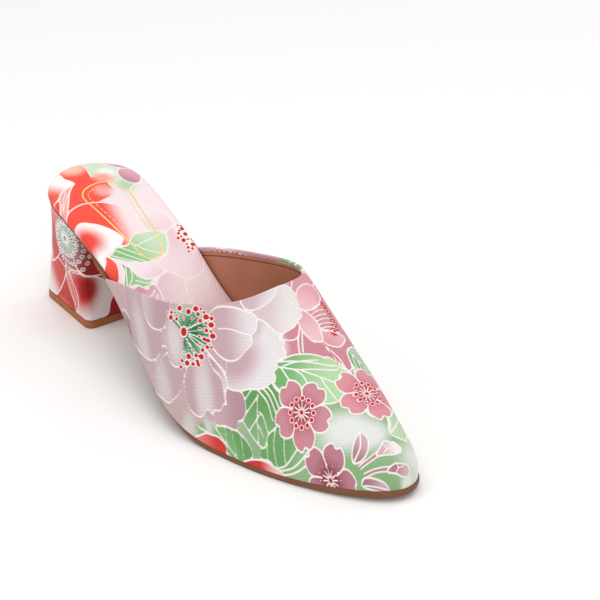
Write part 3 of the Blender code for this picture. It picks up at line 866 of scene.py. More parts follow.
def print_insole(place):
    """Red petals at the heel, a green leaf, and pale pink petals on into the shoe."""
    p = Print(place, "F1DEE1")
    p.wash((10, 12), (16, 18), "CBDFC6")
    p.wash((11, 14), (7, 7), "EFF3ED")
    p.wash((15, 27), (9, 7), "B4D3AB", -30)
    p.petal([
        (12.4, 1), (12.9, 3.6), (16.4, 9.3), (20.7, 13.6), (25.7, 17.4), (30, 18), (24, 5), (17, 2)],
        "CE97A4", "E9D3D8", (23, 8), (15, 4))
    p.petal([
        (18.6, 14), (16.4, 16.4), (15.4, 20), (16, 24.3), (18.2, 27.1), (20.7, 28.2), (23.2, 27.1),
        (26.4, 22.9), (26.6, 18), (22.1, 14.4)], "BB8594", "E0A4B2", (16, 24), (24, 19))
    p.lines([[(27.5, 23), (25.5, 25.5), (23.5, 28), (20, 29), (16, 29.6), (12.5, 33)]], weight=0.8)
    p.lines([[(11.6, 41), (16, 43), (21, 47)]], weight=0.5)

    # Red petals round the back of the seat
    back = p.petal([
        (-13, 6.5), (-9, 2), (-1, -1), (3, 2), (3.8, 6), (2.6, 10.5), (1.6, 14.2), (4.6, 15.6), (7.2, 19),
        (6, 23), (5, 30), (-5, 33), (-20, 36), (-33, 44), (-36, 24), (-27, 10)], "F9503F", edge=0.0)
    p.wash((-3, 3), (12, 9), "FBC4AE", within=back)
    p.wash((7, 17), (8, 6), "F7A493", 20)
    p.lines([[(1, -1), (3, 2), (3.8, 6), (2.6, 10.5), (1.6, 14.2)]], weight=0.6)
    p.petal([
        (-12, 6), (-11.8, 10), (-9.6, 13.9), (-10, 16.2), (-13, 17.5), (-20, 20), (-27, 25), (-32, 16),
        (-26, 7), (-17, 3)], "F8F1EE", "EE5A48", (-16, 13), (-25, 21))
    stripe = p.petal([
        (-11.5, 16.8), (-16, 21.2), (-20, 26.4), (-24.6, 32.5), (-28.4, 37.4), (-29.4, 34), (-27.9, 31),
        (-26, 28), (-24.3, 24.3), (-20.7, 20.7), (-16, 18.2)], "F5A598")
    p.lines([[(-15, 20), (-20, 24.5), (-27.5, 33)], [(-18, 20.5), (-23, 26), (-27, 32)]], stripe, 0.6)
    p.petal([
        (-32, 40), (-27, 36), (-24.3, 34.3), (-20.7, 32.9), (-16.4, 32.1), (-12.1, 32.5), (-7.9, 33.6),
        (-4.3, 35), (0, 38.5), (4, 43), (6, 50), (6, 56), (2, 62), (-5, 64.8), (-10, 64.6), (-14.6, 63.8),
        (-11, 60), (-12.9, 52.9), (-20, 46), (-31, 46)], "FA4D3B", "F4DFDF", (-10, 45), (1, 48))
    p.wash((1, 27), (8, 7), "F5B5A8", 20, 0.8)
    p.wash((6, 31), (6, 6), "F0DEDE", 0, 0.8)
    white = p.petal([
        (-34, 45.5), (-28.6, 45), (-24.3, 43.9), (-20.7, 45.4), (-16.4, 48.6), (-12.9, 52.9), (-10.9, 57.5),
        (-10.6, 60.2), (-12.4, 61.2), (-14.6, 63.8), (-17, 63.6), (-19.6, 65.2), (-22, 65.6), (-25.8, 67.2),
        (-27.6, 70), (-34, 72)], "F8F2F1")
    p.wash((-29, 55), (13.5, 12), "EC4130", 15, within=white)
    p.petal([
        (-34, 72), (-29.6, 71.4), (-27.9, 70), (-25.7, 67.2), (-23.7, 70), (-23.3, 73), (-25, 77.2),
        (-28.6, 82.2), (-34, 86)], "F95744", "D93325", (-25, 70), (-32, 80))

    # Pale petals of the large flower
    p.petal([
        (7, 46), (11.4, 44.6), (15, 45.7), (18.2, 48.6), (19.9, 53.6), (19.9, 61), (12, 63), (6, 60),
        (4, 52)], "F4E2E4", "EDD1D4", (12, 46), (12, 62))
    p.petal([
        (-19, 76), (-17.5, 82), (-12, 85.2), (-6.4, 85.2), (-3, 83.4), (-3, 78), (-8, 76), (-14, 74)],
        "F4E2E6", "EBCDD2", (-12, 78), (-8, 86))
    p.petal([
        (-14, 97), (-12.6, 91), (-8.6, 86.6), (-3, 84.7), (2, 86), (6, 91), (5, 99), (-3, 103), (-12, 102)],
        "E6C3C9", "F0D9DC", (-10, 88), (0, 98))
    p.petal([
        (-3.6, 79), (4, 76.2), (9.6, 70), (11.4, 65.7), (14.3, 62.9), (18, 62.2), (23, 63), (26, 74),
        (22.1, 82.1), (20, 85.7), (15.7, 90), (10.7, 91.4), (5.7, 90.4), (1.4, 87.1), (-2.1, 82.9)],
        "EFDADD", "E9C8CC", (2, 86), (18, 68))
    p.petal([
        (1, 108), (1, 98), (4, 92.5), (10, 91.5), (17, 89.5), (22, 84), (28, 100), (24, 112), (12, 114)],
        "F0DADC", "E5C4C9", (8, 94), (16, 112))
    p.petal([
        (-27, 95), (-25.6, 88), (-22.9, 87.4), (-20.6, 86.8), (-18.6, 88.6), (-17, 90), (-15.6, 88.6),
        (-12.4, 88.8), (-12, 94), (-15, 101), (-22, 106), (-30, 102)],
        "D294A1", "EBC8CD", (-22, 88), (-16, 100))
    p.lines([[(-27, 95), (-22, 93), (-17.9, 93.6), (-14, 91.5)], [(-22, 104), (-19, 98), (-14, 94)]])

    # Leaf across the waist of the insole
    leaf = p.petal([
        (-24.3, 68), (-20.7, 66.2), (-19.4, 64.6), (-17.9, 64.3), (-14.3, 64.6), (-10.7, 64.4), (-5, 60.4),
        (0.7, 59.8), (7.9, 61.4), (11.4, 63.6), (10.7, 66.8), (9.3, 70), (6.4, 73.6), (2.1, 75.7),
        (-3.6, 76.4), (-7.9, 76.8), (-12.9, 75.4), (-17.1, 73.6), (-20.7, 70.9)],
        "83BE7A", "C7DEBD", (-16, 70), (3, 66))
    p.lines([
        [(-22.5, 67.8), (-17, 72), (-12, 75.3)], [(-19.5, 65), (-14, 71), (-8, 76.5)],
        [(-15.5, 64.7), (-11, 69.5), (-5, 75.8)], [(-8, 66.4), (0, 65.2), (11, 63.6)],
        [(-9, 63.4), (-4, 70), (3, 75)]], leaf, 0.85)
    leaf = p.petal([
        (-21.4, 73.4), (-22.1, 77.1), (-25, 81.4), (-27.6, 85.4), (-25.7, 86.4), (-22, 86), (-20, 86.8),
        (-18.6, 88.4), (-13.6, 88.2), (-10, 85.9), (-14.3, 85), (-17.6, 81.6), (-18.6, 76.4)],
        "9CCC92", "7FB876", (-18, 86), (-24, 78))
    p.lines([
        [(-19.4, 74.6), (-22.4, 79.6), (-26, 85.6)], [(-18.2, 77), (-20.6, 82), (-25.4, 86)],
        [(-20, 84), (-15, 87), (-11, 86.4)]], leaf, 0.8)

    # Further in, under the vamp
    p.petal([
        (-34, 108), (-26, 104), (-16, 104), (-10, 112), (-14, 124), (-28, 128), (-38, 120)],
        "E3B9C0", "F1DCDD", (-30, 106), (-16, 124))
    p.petal([
        (-10, 112), (0, 108), (12, 116), (10, 130), (-4, 134), (-13, 124)],
        "F0D9DB", "DDAEB7", (0, 110), (2, 132))
    leaf = p.petal([
        (12, 116), (22, 114), (30, 124), (34, 140), (24, 150), (14, 140), (9, 128)],
        "9CCB92", "C3DFB8", (16, 118), (30, 146))
    p.veins(leaf, [(13, 117), (20, 130), (26, 149)], 5.0, 0.9, 0.03)
    p.petal([
        (-40, 128), (-28, 128), (-14, 126), (-4, 136), (-12, 152), (-30, 156), (-42, 146)],
        "D99AA6", "EFD6D9", (-34, 130), (-16, 152))
    p.blossom((8, 152), 15, 20, "D99AA6", "B64858")

    # Stamens by the medial edge
    p.wash((20.5, 69), (5.5, 12), "F4EADF")
    p.dots([
        (23, 62.7), (21.1, 62.1), (19.6, 65.4), (18.2, 68.9), (20.7, 71.4), (22.7, 71.8), (18.2, 73.9),
        (16.3, 78.1)], 0.5, 1.4, 144)
    p.dots([(18.2, 66.8), (16.1, 69.3), (17.5, 75.9), (19.3, 77.1)], 0.65, 1.4, 144)
    p.dots([(22, 64.6), (21.4, 68.2), (18, 71.4), (21.1, 74.9)], 0.95, 1.4, 144)
    return p


def insole_place(around, across):
    """Underside from the spine, rounded edge, and top to the spine again, with the print's places."""
    inset, up, inward = profile(INSOLE_PROFILE, across)
    plan = drawn_in(edge_line(np.interp(around, *INSOLE_COLUMNS), inset), inward)
    points = np.column_stack([plan, seat(plan[:, 0]) + INSOLE_THICKNESS * layer(plan[:, 0], 2) * up])
    return (points, *print_insole(points[:, [1, 0]] * 1000.0).finished())


insole_cover = new_piece("insole_cover", skin("insole_cover", 900, 78, insole_place, PRINT_NUMBERS), leather)
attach(insole_cover, "root")
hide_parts("insole")

# Foil frame: a line and a row of dashes inside it, stamped in gold foil on the seat of the insole.
# Foil lies flat in the pressed leather, so it is drawn as thin strips that follow the seat.
FOIL_OUTLINE = (
    # across, along: the outer line in millimetres on the insole, from its back round the medial side
    (0.4, 20.0), (5.4, 20.7), (10.2, 23.4), (12.5, 28.4), (11.9, 36.0), (10.6, 43.0), (9.2, 51.0),
    (8.0, 60.0), (6.8, 66.0), (4.6, 71.5), (1.4, 74.8), (-2.8, 75.9), (-6.6, 74.4), (-8.3, 70.0),
    (-9.2, 63.0), (-10.4, 50.0), (-11.7, 37.0), (-12.5, 29.6), (-10.8, 25.0), (-6.6, 21.8),
)
FOIL_LIFT = 0.00004
FOIL_NUDGE = 0.4                       # mm to either side, to read the direction of the frame
FOIL_WELD = 1e-6
FOIL_LINES = (
    # inset, width, dash and gap in millimetres, faces along a strip; a full line has no gap
    (0.0, 0.85, 1.0, 0.0, 240),
    (2.8, 0.50, 1.8, 1.3, 4),
)


def foil_strips():
    """Strips of foil along the frame's lines."""
    path = curve(FOIL_OUTLINE, True)
    reach = arc_lengths(path)
    whole = reach[-1]
    bm = bmesh.new()
    for inset, width, dash, gap, faces in FOIL_LINES:
        count = round(whole / (dash + gap)) if gap else 1
        for k in range(count):
            new = bmesh.ops.create_grid(bm, x_segments=faces, y_segments=1, size=0.5)["verts"]
            flat = np.array([vert.co for vert in new])
            at = whole / count * (k + (flat[:, 0] + 0.5) * dash / (dash + gap))
            behind, ahead = (on_path(path, reach, (at + step) % whole) for step in (-FOIL_NUDGE, FOIL_NUDGE))
            way = ahead - behind
            inward = np.stack([-way[:, 1], way[:, 0]], 1) / np.linalg.norm(way, axis=1)[:, None]
            plan = (on_path(path, reach, at) + inward * (inset + width * flat[:, 1])[:, None]) / 1000.0
            top = seat(plan[:, 1]) + INSOLE_THICKNESS * layer(plan[:, 1], 2) + FOIL_LIFT
            for vert, place in zip(new, np.column_stack([plan[:, 1] - ORIGIN, plan[:, 0], top])):
                vert.co = place
    bmesh.ops.remove_doubles(bm, verts=bm.verts[:], dist=FOIL_WELD)
    bmesh.ops.recalc_face_normals(bm, faces=bm.faces[:])
    if sum(face.normal.z for face in bm.faces) < 0.0:
        bmesh.ops.reverse_faces(bm, faces=bm.faces[:])
    mesh = bpy.data.meshes.new("foil_frame")
    bm.to_mesh(mesh)
    bm.free()
    return mesh


# Gold stamping foil: thin metal, soft bright, slightly broken by the grain under it
foil = clouded_material("gold_stamping_foil", ("DFC06A", "F6E7A8"), (900.0, 2.0), (900.0, 2.0), (0.3, 0.0001),
                        Metallic=0.35, Roughness=0.42)[0]
foil_frame = new_piece("foil_frame", foil_strips(), foil)
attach(foil_frame, "root")

# Vamp: one piece of the same printed leather, lasted over the foot's form. Its rim is folded over the
# topline and its lower edge ends just above the sole.
RIDGE = (
    # along, height (of the instep), side (of the ball width)
    (0.30, 1.010, 0.030),
    (0.40, 1.008, 0.042),
    (0.50, 0.925, 0.055),
    (0.60, 0.799, 0.067),
    (0.68, 0.649, 0.075),
    (0.76, 0.494, 0.079),
    (0.84, 0.364, 0.080),
    (0.91, 0.274, 0.077),
    (0.96, 0.192, 0.072),
    (1.00, 0.000, 0.064),
)
TOPLINE = (
    # across, along
    (-1.00, 0.297),
    (-0.75, 0.461),
    (-0.50, 0.569),
    (-0.25, 0.626),
    (0.00, 0.637),
    (0.25, 0.614),
    (0.50, 0.541),
    (0.75, 0.427),
    (1.00, 0.292),
)
LATERAL_FULLNESS = 0.83
MEDIAL_FULLNESS = 0.45
LATERAL_HOLLOW = 0.06
HOLLOW_PLACE = 0.65
FOOT_LINE = 0.0001                     # the cover's lower edge above the sole
RIM = WALL / 2.0                       # radius of the folded rim
RIM_STEP = 0.002                       # share of the rows over which the slope at the topline is read
FOLD_DEPTH = 0.002                     # how far the cover is folded in below the topline
FOLD_ROWS, RIM_ROWS = 0.01, 0.04       # shares of the rows down to the end of the fold and of the rim
LAST_ROW = 0.999                       # rows past this share of them are the tip of the toe
CLIMB_POWERS = (1.15, 1.45)            # spread of the columns near the sole and near the ridge
ROW_POWER = 0.7                        # spread of the rows towards the toe
LATERAL_COLUMNS = 0.6                  # share of the columns that the lateral side has
EDGE_STEPS = 800
CHART_END = 0.9                        # deepest row of the chart, behind the topline
CHART_ROWS, CHART_COLUMNS = 181, 81
CELL_END = 1.001                       # keeps the last cell's neighbours inside the chart
vamp_edge = edge_line(np.linspace(0.0, 1.0, 2 * EDGE_STEPS + 1), -(WALL + 2.0 * CLEARANCE))
REACH = vamp_edge[EDGE_STEPS, 0]
VAMP_SIDES = {-1: vamp_edge[:EDGE_STEPS + 1], 1: vamp_edge[EDGE_STEPS:][::-1]}


def vamp_form(depth, round_, medial, inset=0.0):
    """Points of the vamp: depth is the root of the share left to the toe, round_ 0 at the sole and
    1 at the ridge, inset how far inside the outer face."""
    along = 1.0 - depth ** 2
    x = along * (REACH - inset)
    rows = np.sqrt(1.0 - column(RIDGE, 0))[::-1]
    height = INSTEP_HEIGHT * spline(rows, column(RIDGE, 1)[::-1], depth) - inset
    ridge = BALL_WIDTH * spline(rows, column(RIDGE, 2)[::-1], depth)
    feather = np.zeros_like(x)
    for side, mask in ((-1, ~medial), (1, medial)):
        path = VAMP_SIDES[side]
        near = np.sqrt(np.clip(1.0 - path[:, 0] / REACH, 0.0, 1.0))[::-1]
        feather[mask] = np.interp(depth[mask], near, path[::-1, 1])
    feather = feather - np.where(medial, 1.0, -1.0) * np.minimum(inset, np.abs(feather - ridge))
    swing = math.pi / 2.0 * round_
    power = np.where(medial, MEDIAL_FULLNESS, LATERAL_FULLNESS)
    width = (feather - ridge) * np.clip(np.cos(swing), 0.0, 1.0) ** power
    hollow = np.where(medial, 0.0, LATERAL_HOLLOW) * np.sin(math.pi * round_ ** HOLLOW_PLACE) ** 2
    y = ridge + width - (feather - ridge) * hollow
    return np.column_stack([x, y, sole_top(x) + FOOT_LINE + np.maximum(height, 0.0) * np.sin(swing)])


def vamp_columns(side):
    """Share up the section and side of a column, from -1 at the lateral sole to 1 at the medial sole."""
    climb = (1.0 - np.abs(side)) ** CLIMB_POWERS[0]
    return 1.0 - (1.0 - climb) ** CLIMB_POWERS[1], side > 0.0


def vamp_rows(rest, round_, medial):
    """Depth of a row; rest runs 1 at the topline to 0 at the toe."""
    start = spline(column(TOPLINE, 0), column(TOPLINE, 1), np.where(medial, 1.0, -1.0) * (1.0 - round_))
    return np.sqrt(1.0 - start * LAST_LENGTH / REACH) * rest ** ROW_POWER


def rim_rest(distance, round_, medial):
    """The row that lies at a distance from the topline."""
    first, second = (vamp_rows(np.full_like(round_, rest), round_, medial) for rest in (1.0, 1.0 - RIM_STEP))
    apart = vamp_form(second, round_, medial) - vamp_form(first, round_, medial)
    return 1.0 - RIM_STEP * distance / np.linalg.norm(apart, axis=1)


def vamp_chart(depth, round_, medial):
    """Girth from the ridge, lateral negative, and distance down the ridge from the toe, in millimetres."""
    depths = np.linspace(0.0, CHART_END, CHART_ROWS)
    rounds = np.linspace(1.0, 0.0, CHART_COLUMNS)
    grid_depth, grid_round = (a.ravel() for a in np.meshgrid(depths, rounds, indexing="ij"))
    row = np.clip(depth / depths[1], 0.0, CHART_ROWS - CELL_END)
    cell = np.clip((1.0 - round_) / (rounds[0] - rounds[1]), 0.0, CHART_COLUMNS - CELL_END)
    i, j = row.astype(int), cell.astype(int)
    a, b = row - i, cell - j
    girth = np.zeros_like(depth)
    for side, mask in ((-1.0, ~medial), (1.0, medial)):
        form = vamp_form(grid_depth, grid_round, np.full(grid_depth.shape, side > 0.0))
        form = form.reshape(CHART_ROWS, CHART_COLUMNS, 3)
        steps = np.linalg.norm(np.diff(form, axis=1), axis=2)
        reach = np.concatenate([np.zeros((CHART_ROWS, 1)), np.cumsum(steps, axis=1)], 1)
        there = ((reach[i, j] * (1 - a) + reach[i + 1, j] * a) * (1 - b)
                 + (reach[i, j + 1] * (1 - a) + reach[i + 1, j + 1] * a) * b)
        girth = np.where(mask, side * there, girth)
    return np.stack([girth, np.interp(depth, depths, arc_lengths(form[:, 0]))], 1) * 1000.0


def print_vamp(place):
    """A large pale peony on the lateral side, blossoms, buds and leaves towards the toe."""
    p = Print(place, "8FB084")
    p.wash((-14, 38), (22, 13), "DFE0DC", -25)
    p.wash((-6, 29), (12, 9), "DFE0DC")
    p.wash((14, 10), (22, 16), "E9E7E2")
    p.wash((0, 2), (8, 6), "E4E8DC")
    p.wash((-18, 17), (20, 9), "82B079", -40)
    p.wash((-25, 30), (6, 8), "82B079")

    # Light leaf on the ridge, striped leaf on the medial side
    leaf = p.petal([
        (2, 26), (8, 20), (16, 20), (24, 30), (30, 46), (30, 58), (20, 48), (12, 42), (8, 36), (5, 31)],
        "B9D5AC", "93C187", (4, 26), (26, 50))
    p.lines([
        [(2, 26), (8, 29), (16, 36), (24, 48)], [(8, 21), (16, 28), (24, 40)],
        [(7, 34), (14, 38), (22, 50)], [(13, 20), (22, 32), (28, 46)], [(3, 27), (6, 31), (8, 36)]], leaf)
    leaf = p.petal([
        (15, 54), (12, 60), (11, 68), (13, 74), (20, 77), (28, 74), (33, 66), (30, 57), (22, 53)],
        "7BAB70", "B1CBA5", (13, 60), (28, 64))
    p.veins(leaf, [(14, 75), (18, 64), (28, 56)], 3.6, 1.0, 0.05)

    # Medial side: leaves, a red peony, and pale petals towards the waist
    p.petal([
        (30, 150), (60, 140), (95, 130), (120, 160), (120, 200), (50, 200)],
        "C99AA5", "E9D3D6", (50, 150), (100, 180), 0.0)
    for base, tip, half in (
        ((40, 88), (30, 62), 8),
        ((52, 84), (52, 58), 8),
        ((66, 90), (74, 70), 8),
        ((80, 118), (96, 100), 9),
        ((40, 138), (28, 122), 7),
        ((34, 40), (24, 18), 7),
        ((48, 60), (40, 34), 8),
    ):
        base, tip = np.array(base, float), np.array(tip, float)
        side = np.array([tip[1] - base[1], base[0] - tip[0]]) / np.linalg.norm(tip - base) * half
        leaf = p.petal([
            base, base + 0.3 * (tip - base) + 0.8 * side, base + 0.6 * (tip - base) + side, tip,
            base + 0.6 * (tip - base) - 0.9 * side, base + 0.3 * (tip - base) - 0.8 * side],
            "548D4B", "9EC094", base, tip)
        p.veins(leaf, [base, base + 0.5 * (tip - base) + 0.1 * side, tip], 4.6, 0.9, 0.04)
    p.petal([
        (74, 150), (86, 140), (100, 146), (106, 164), (98, 180), (84, 184), (74, 170)],
        "EBDCDE", "B98792", (90, 144), (86, 180))
    p.petal([
        (66, 160), (76, 156), (86, 166), (88, 184), (76, 194), (66, 182)],
        "C08A98", "EFE4E5", (72, 160), (80, 188))
    p.peony((60, 112), 31, 10, "DE3028", "F8E4E0", "8FB59A")
    p.dots([(60 + 11 * math.cos(a), 112 + 11 * math.sin(a)) for a in np.arange(0.2, 6.3, 0.42)], 0.8)
    p.blossom((42, 74), 13, 40, "DB97A1", "B84A5A")
    p.blossom((80, 142), 13, 10, "C98F9B", "A23447")
    p.petal([
        (20, 120), (27, 127), (35, 142), (45, 157), (55, 173), (68, 191), (82, 210), (98, 240), (140, 240),
        (126, 212), (98, 182), (76, 160), (60, 143), (44, 128), (32, 114)],
        "E3CACD", "D3A9B1", (30, 120), (90, 200))
    p.dots([
        (55, 173), (59, 178.5), (62, 182), (66.5, 187.5), (71, 193), (75, 197.5), (80, 203)], 0.9, 1.4, 50)

    # Leaves between the blossoms and the peony
    leaf = p.petal([
        (-53.5, 55.5), (-49, 50), (-42, 45.5), (-35, 44), (-30, 46), (-27, 52), (-31, 60), (-38, 65.5),
        (-46, 67.5), (-54, 68), (-56, 66), (-53, 61)], "68A05E", "8FB883", (-40, 58), (-38, 46))
    p.lines([
        [(-53, 56), (-46, 50), (-38, 47), (-30, 46)], [(-52, 56.5), (-47, 53), (-37, 51)],
        [(-47, 54), (-43, 57), (-38, 60)], [(-52, 57), (-46, 62.5), (-40, 65)], [(-54, 62.5), (-48, 66)]],
        leaf)
    p.petal([
        (-59, 68), (-53, 68), (-51, 76), (-52, 86), (-60, 92), (-62, 80)],
        "8DB083", "A0BA9A", (-55, 70), (-56, 90), 0.0)
    leaf = p.petal([
        (-52, 67.5), (-45, 67), (-38, 65), (-30, 68), (-28, 74), (-29, 80), (-36, 84), (-42, 89), (-47, 88),
        (-52, 84)], "629A56", "83AE77", (-38, 78), (-50, 70))
    p.lines([
        [(-52, 70), (-46, 75), (-38, 81)], [(-48, 69), (-46.5, 73)], [(-52, 77), (-43, 75.5)],
        [(-45, 67), (-42, 73), (-42, 76)], [(-52, 83), (-44, 81.5), (-38, 80.5)], [(-45, 86), (-38, 85)],
        [(-39, 68), (-36, 75), (-36.5, 82)], [(-36, 67), (-33.7, 75), (-34, 81)],
        [(-33, 68), (-31.5, 75), (-32, 80)]], leaf)
    leaf = p.petal([
        (-70, 79), (-65, 74), (-59, 71), (-57, 76), (-58.5, 84), (-63, 92), (-68, 100), (-74, 109),
        (-78, 108), (-73, 97)], "80B175", "659D5B", (-70, 82), (-60, 80))
    p.lines([
        [(-68, 79), (-68.2, 90), (-69, 101)], [(-67, 80), (-61, 87)], [(-67.5, 87), (-63, 92)],
        [(-64, 75.5), (-58, 81)], [(-68.4, 95), (-66, 98)]], leaf)
    leaf = p.petal([
        (-21, 84), (-28, 80), (-28.5, 73), (-22, 68), (-17, 57), (-12, 52.5), (-7, 52), (-2, 55), (1, 61),
        (6, 63), (6, 67), (2, 73), (-5, 78), (-13, 81.5)], "6EAC64", "AFD5A2", (-24, 78), (-8, 60))
    p.lines([
        [(-28, 73), (-29, 80)], [(-21.5, 69), (-21.5, 80)], [(-15.5, 64), (-15, 71), (-16.5, 75)],
        [(-22, 81), (-16, 75), (-9, 71), (1, 66)], [(-21, 83), (-11, 76.5), (-2, 70.5), (6, 64.5)],
        [(-8.5, 53), (-8.5, 61), (-8, 66)], [(-14, 73), (-8, 66), (-3, 60)],
        [(-20, 80), (-14, 78), (-4, 74)]], leaf)

    # Pink flower on the ridge
    p.petal([
        (-21, 84), (-12, 81), (-3, 76.5), (2.5, 71), (6.5, 64), (10, 65), (13, 73), (18, 76), (25, 79),
        (31, 90), (32, 104), (24, 118), (8, 117), (3, 111), (4, 104), (-3, 94), (-10, 93), (-15, 90)],
        "CB8490", "D797A0", (0, 80), (24, 104))
    p.lines([
        [(-10, 80.5), (-7, 86), (-2, 92)], [(-8, 80.5), (-4, 87), (-1, 91)],
        [(-14, 91), (-10, 88), (-6, 88), (-2, 92)], [(7.5, 62), (4.5, 71), (2.5, 81)],
        [(6.5, 66), (6.5, 72), (3.5, 80)], [(9, 62), (11, 65)]])
    p.petal([
        (4, 84), (6, 79), (11, 76.5), (16, 79), (18, 82), (14, 84), (10, 86.5), (7, 87)],
        "DF98A1", "E5AEB4", (6, 80), (15, 84))
    p.petal([
        (1, 82), (5, 82.5), (7, 87), (8, 91), (7, 96), (4, 99.5), (1, 98), (-1.5, 93), (-1.5, 87)],
        "EAC0C6", "DFA5AE", (2, 84), (4, 99))
    p.petal([
        (3, 101), (7, 98.5), (12, 98.5), (17, 102), (20, 106), (19, 110.5), (14, 111.5), (8, 109.5),
        (4.5, 105)], "ECBAC1", "E3A3AD", (6, 100), (16, 110))
    p.strokes([[(13, 84), (16.5, 88), (18, 94), (17.5, 101)]], "BC2F3C", 5.0)
    p.lines([[(8, 86 + 2.0 * k), (12, 85.5 + 2.3 * k), (16.5, 84 + 2.7 * k)] for k in range(7)], weight=0.8)
    p.dots([(14, 85), (16.5, 87.3), (17.6, 90.2), (18, 93.4), (17.8, 96.6), (16.6, 99.6)], 0.8)
    p.lines([[(3.5, 110), (7, 113), (10, 119)], [(19, 111), (23, 114), (28, 113)]])

    # Peony, from its outer petals inwards
    p.petal([
        (-56, 88), (-66, 97), (-77, 108), (-92, 118), (-99, 150), (-106, 196), (-112, 260), (-60, 260),
        (-20, 128), (4, 116), (2, 100), (-12, 96), (-40, 102)], "C6A8AB", edge=0.0)
    p.wash((-84, 113), (9, 9), "CFC8C5", -40)
    p.petal([
        (-67, 98), (-62.5, 91), (-59.7, 86), (-57.7, 83.8), (-55, 84.9), (-52.3, 83), (-49, 82.6),
        (-45.7, 85), (-44.3, 88.3), (-45, 92.3), (-47, 98), (-58, 102)],
        "B38C95", "C6A6AC", (-50, 86), (-64, 98))
    p.wash((-72, 101), (4, 6), "D2CECB")
    broad = p.petal([
        (-49, 98), (-45, 91), (-40, 86.5), (-36, 82), (-32, 79.3), (-29, 78.9), (-27.6, 77.6), (-26, 79),
        (-25.3, 81.2), (-23, 81.3), (-21.6, 83.6), (-19, 83.4), (-17.4, 82.6), (-15.4, 84.6), (-15.2, 87.4),
        (-13.4, 88.8), (-14.4, 91.2), (-12, 94), (-13, 100), (-17, 105), (-24, 108), (-34, 106),
        (-44, 103)], "E3DDDF")
    p.wash((-37, 100), (20, 14), "C29EA7", -35, 0.95, broad)
    p.wash((-22, 103), (8, 7), "C9AEB5", 0, 0.8, broad)
    p.wash((-16, 92), (6, 12), "E0DADA")
    p.petal([
        (-13.5, 94), (-9, 92.7), (-3, 94), (1, 97), (2.5, 101), (4.5, 104), (3.5, 106.5), (5.5, 108.5),
        (4, 112), (-4, 115), (-14, 114), (-20, 108), (-16, 102)], "E6E0DE", "D6BEC2", (-1, 99), (-15, 108))
    p.petal([
        (-21, 112), (-16, 108.7), (-10, 108.7), (-5, 110.5), (-2, 114), (-8, 118), (-20, 118)],
        "E2D8D9", "CDB0B6", (-8, 109), (-14, 116))
    p.petal([
        (-45, 115), (-43.5, 107.5), (-40, 102), (-36, 99.2), (-31, 98.4), (-26.5, 98.3), (-25, 101),
        (-22, 101.3), (-19.3, 104), (-18.7, 107.3), (-21, 110.5), (-26, 117), (-34, 124), (-42, 124)],
        "C2A3AA", "E2DBDD", (-37, 112), (-22, 103))
    p.lines([[(-25, 101), (-28, 105), (-33, 112), (-38, 117)]], weight=0.7)
    frilled = p.petal([
        (-50, 119), (-56, 123), (-62.3, 124.4), (-66, 125.4), (-70.3, 124.8), (-75, 121.7), (-76.8, 117.5),
        (-76.3, 113), (-73.8, 108.3), (-70.3, 105.8), (-66.4, 105), (-65.7, 101.4), (-63.4, 100.6),
        (-61.7, 98.8), (-59.7, 96.8), (-56.3, 96.3), (-54.7, 94.6), (-53, 97), (-49, 98), (-47, 99.7),
        (-46.3, 103.7), (-47.3, 108.3)], "C0A1A6")
    p.wash((-65, 108), (11, 24), "DDD3D3", -42, 0.85, frilled)
    p.petal([
        (-54.8, 95.6), (-51.5, 97.8), (-48.6, 98.5), (-46.9, 102.5), (-47.4, 108), (-49.8, 115.5),
        (-51, 110), (-49.8, 104.5), (-50.5, 101)], "D8CFD1", "B697A0", (-52, 98), (-50, 112))
    left = p.petal([
        (-66, 127), (-70, 125.8), (-73, 125.6), (-77, 125.8), (-81, 127.2), (-85, 129.6), (-88.4, 131.8),
        (-91, 135), (-92.3, 138.3), (-94.4, 142.3), (-96, 147), (-93, 150.6), (-87.7, 152.8), (-83, 151.8),
        (-78.3, 149.8), (-72, 146)], "C0A2A7")
    p.wash((-88, 140), (12, 18), "D8CCCD", -15, 0.8, left)
    p.lines([[(-95.5, 146), (-89.5, 148.6), (-82, 147.6), (-77, 146), (-72.5, 143)]])
    low = p.petal([
        (-76, 149), (-83, 152), (-86.5, 155.2), (-90.5, 160), (-94, 166.5), (-96.8, 172.5), (-98.6, 178),
        (-100, 186), (-92, 194), (-76, 200), (-66, 176), (-70, 154)], "C0A3A8")
    p.wash((-90, 170), (11, 28), "D8CCCE", -25, 0.8, low)
    p.petal([
        (-60, 150), (-67, 151.7), (-71.8, 155.8), (-75.8, 161.8), (-77.8, 167), (-78.2, 172.3),
        (-76.4, 177), (-71, 180), (-58, 172), (-52, 156)], "CDBBC0", "BB9AA1", (-78, 172), (-66, 160))
    small = p.petal([
        (-66, 128), (-70.3, 131.7), (-73, 135.4), (-73.8, 139.8), (-72.3, 144.6), (-69, 149),
        (-63.7, 151.2), (-57, 149.6), (-54, 140), (-58, 131)], "C2A6AB")
    p.wash((-65, 140), (10, 14), "DDD4D4", -20, 0.85, small)

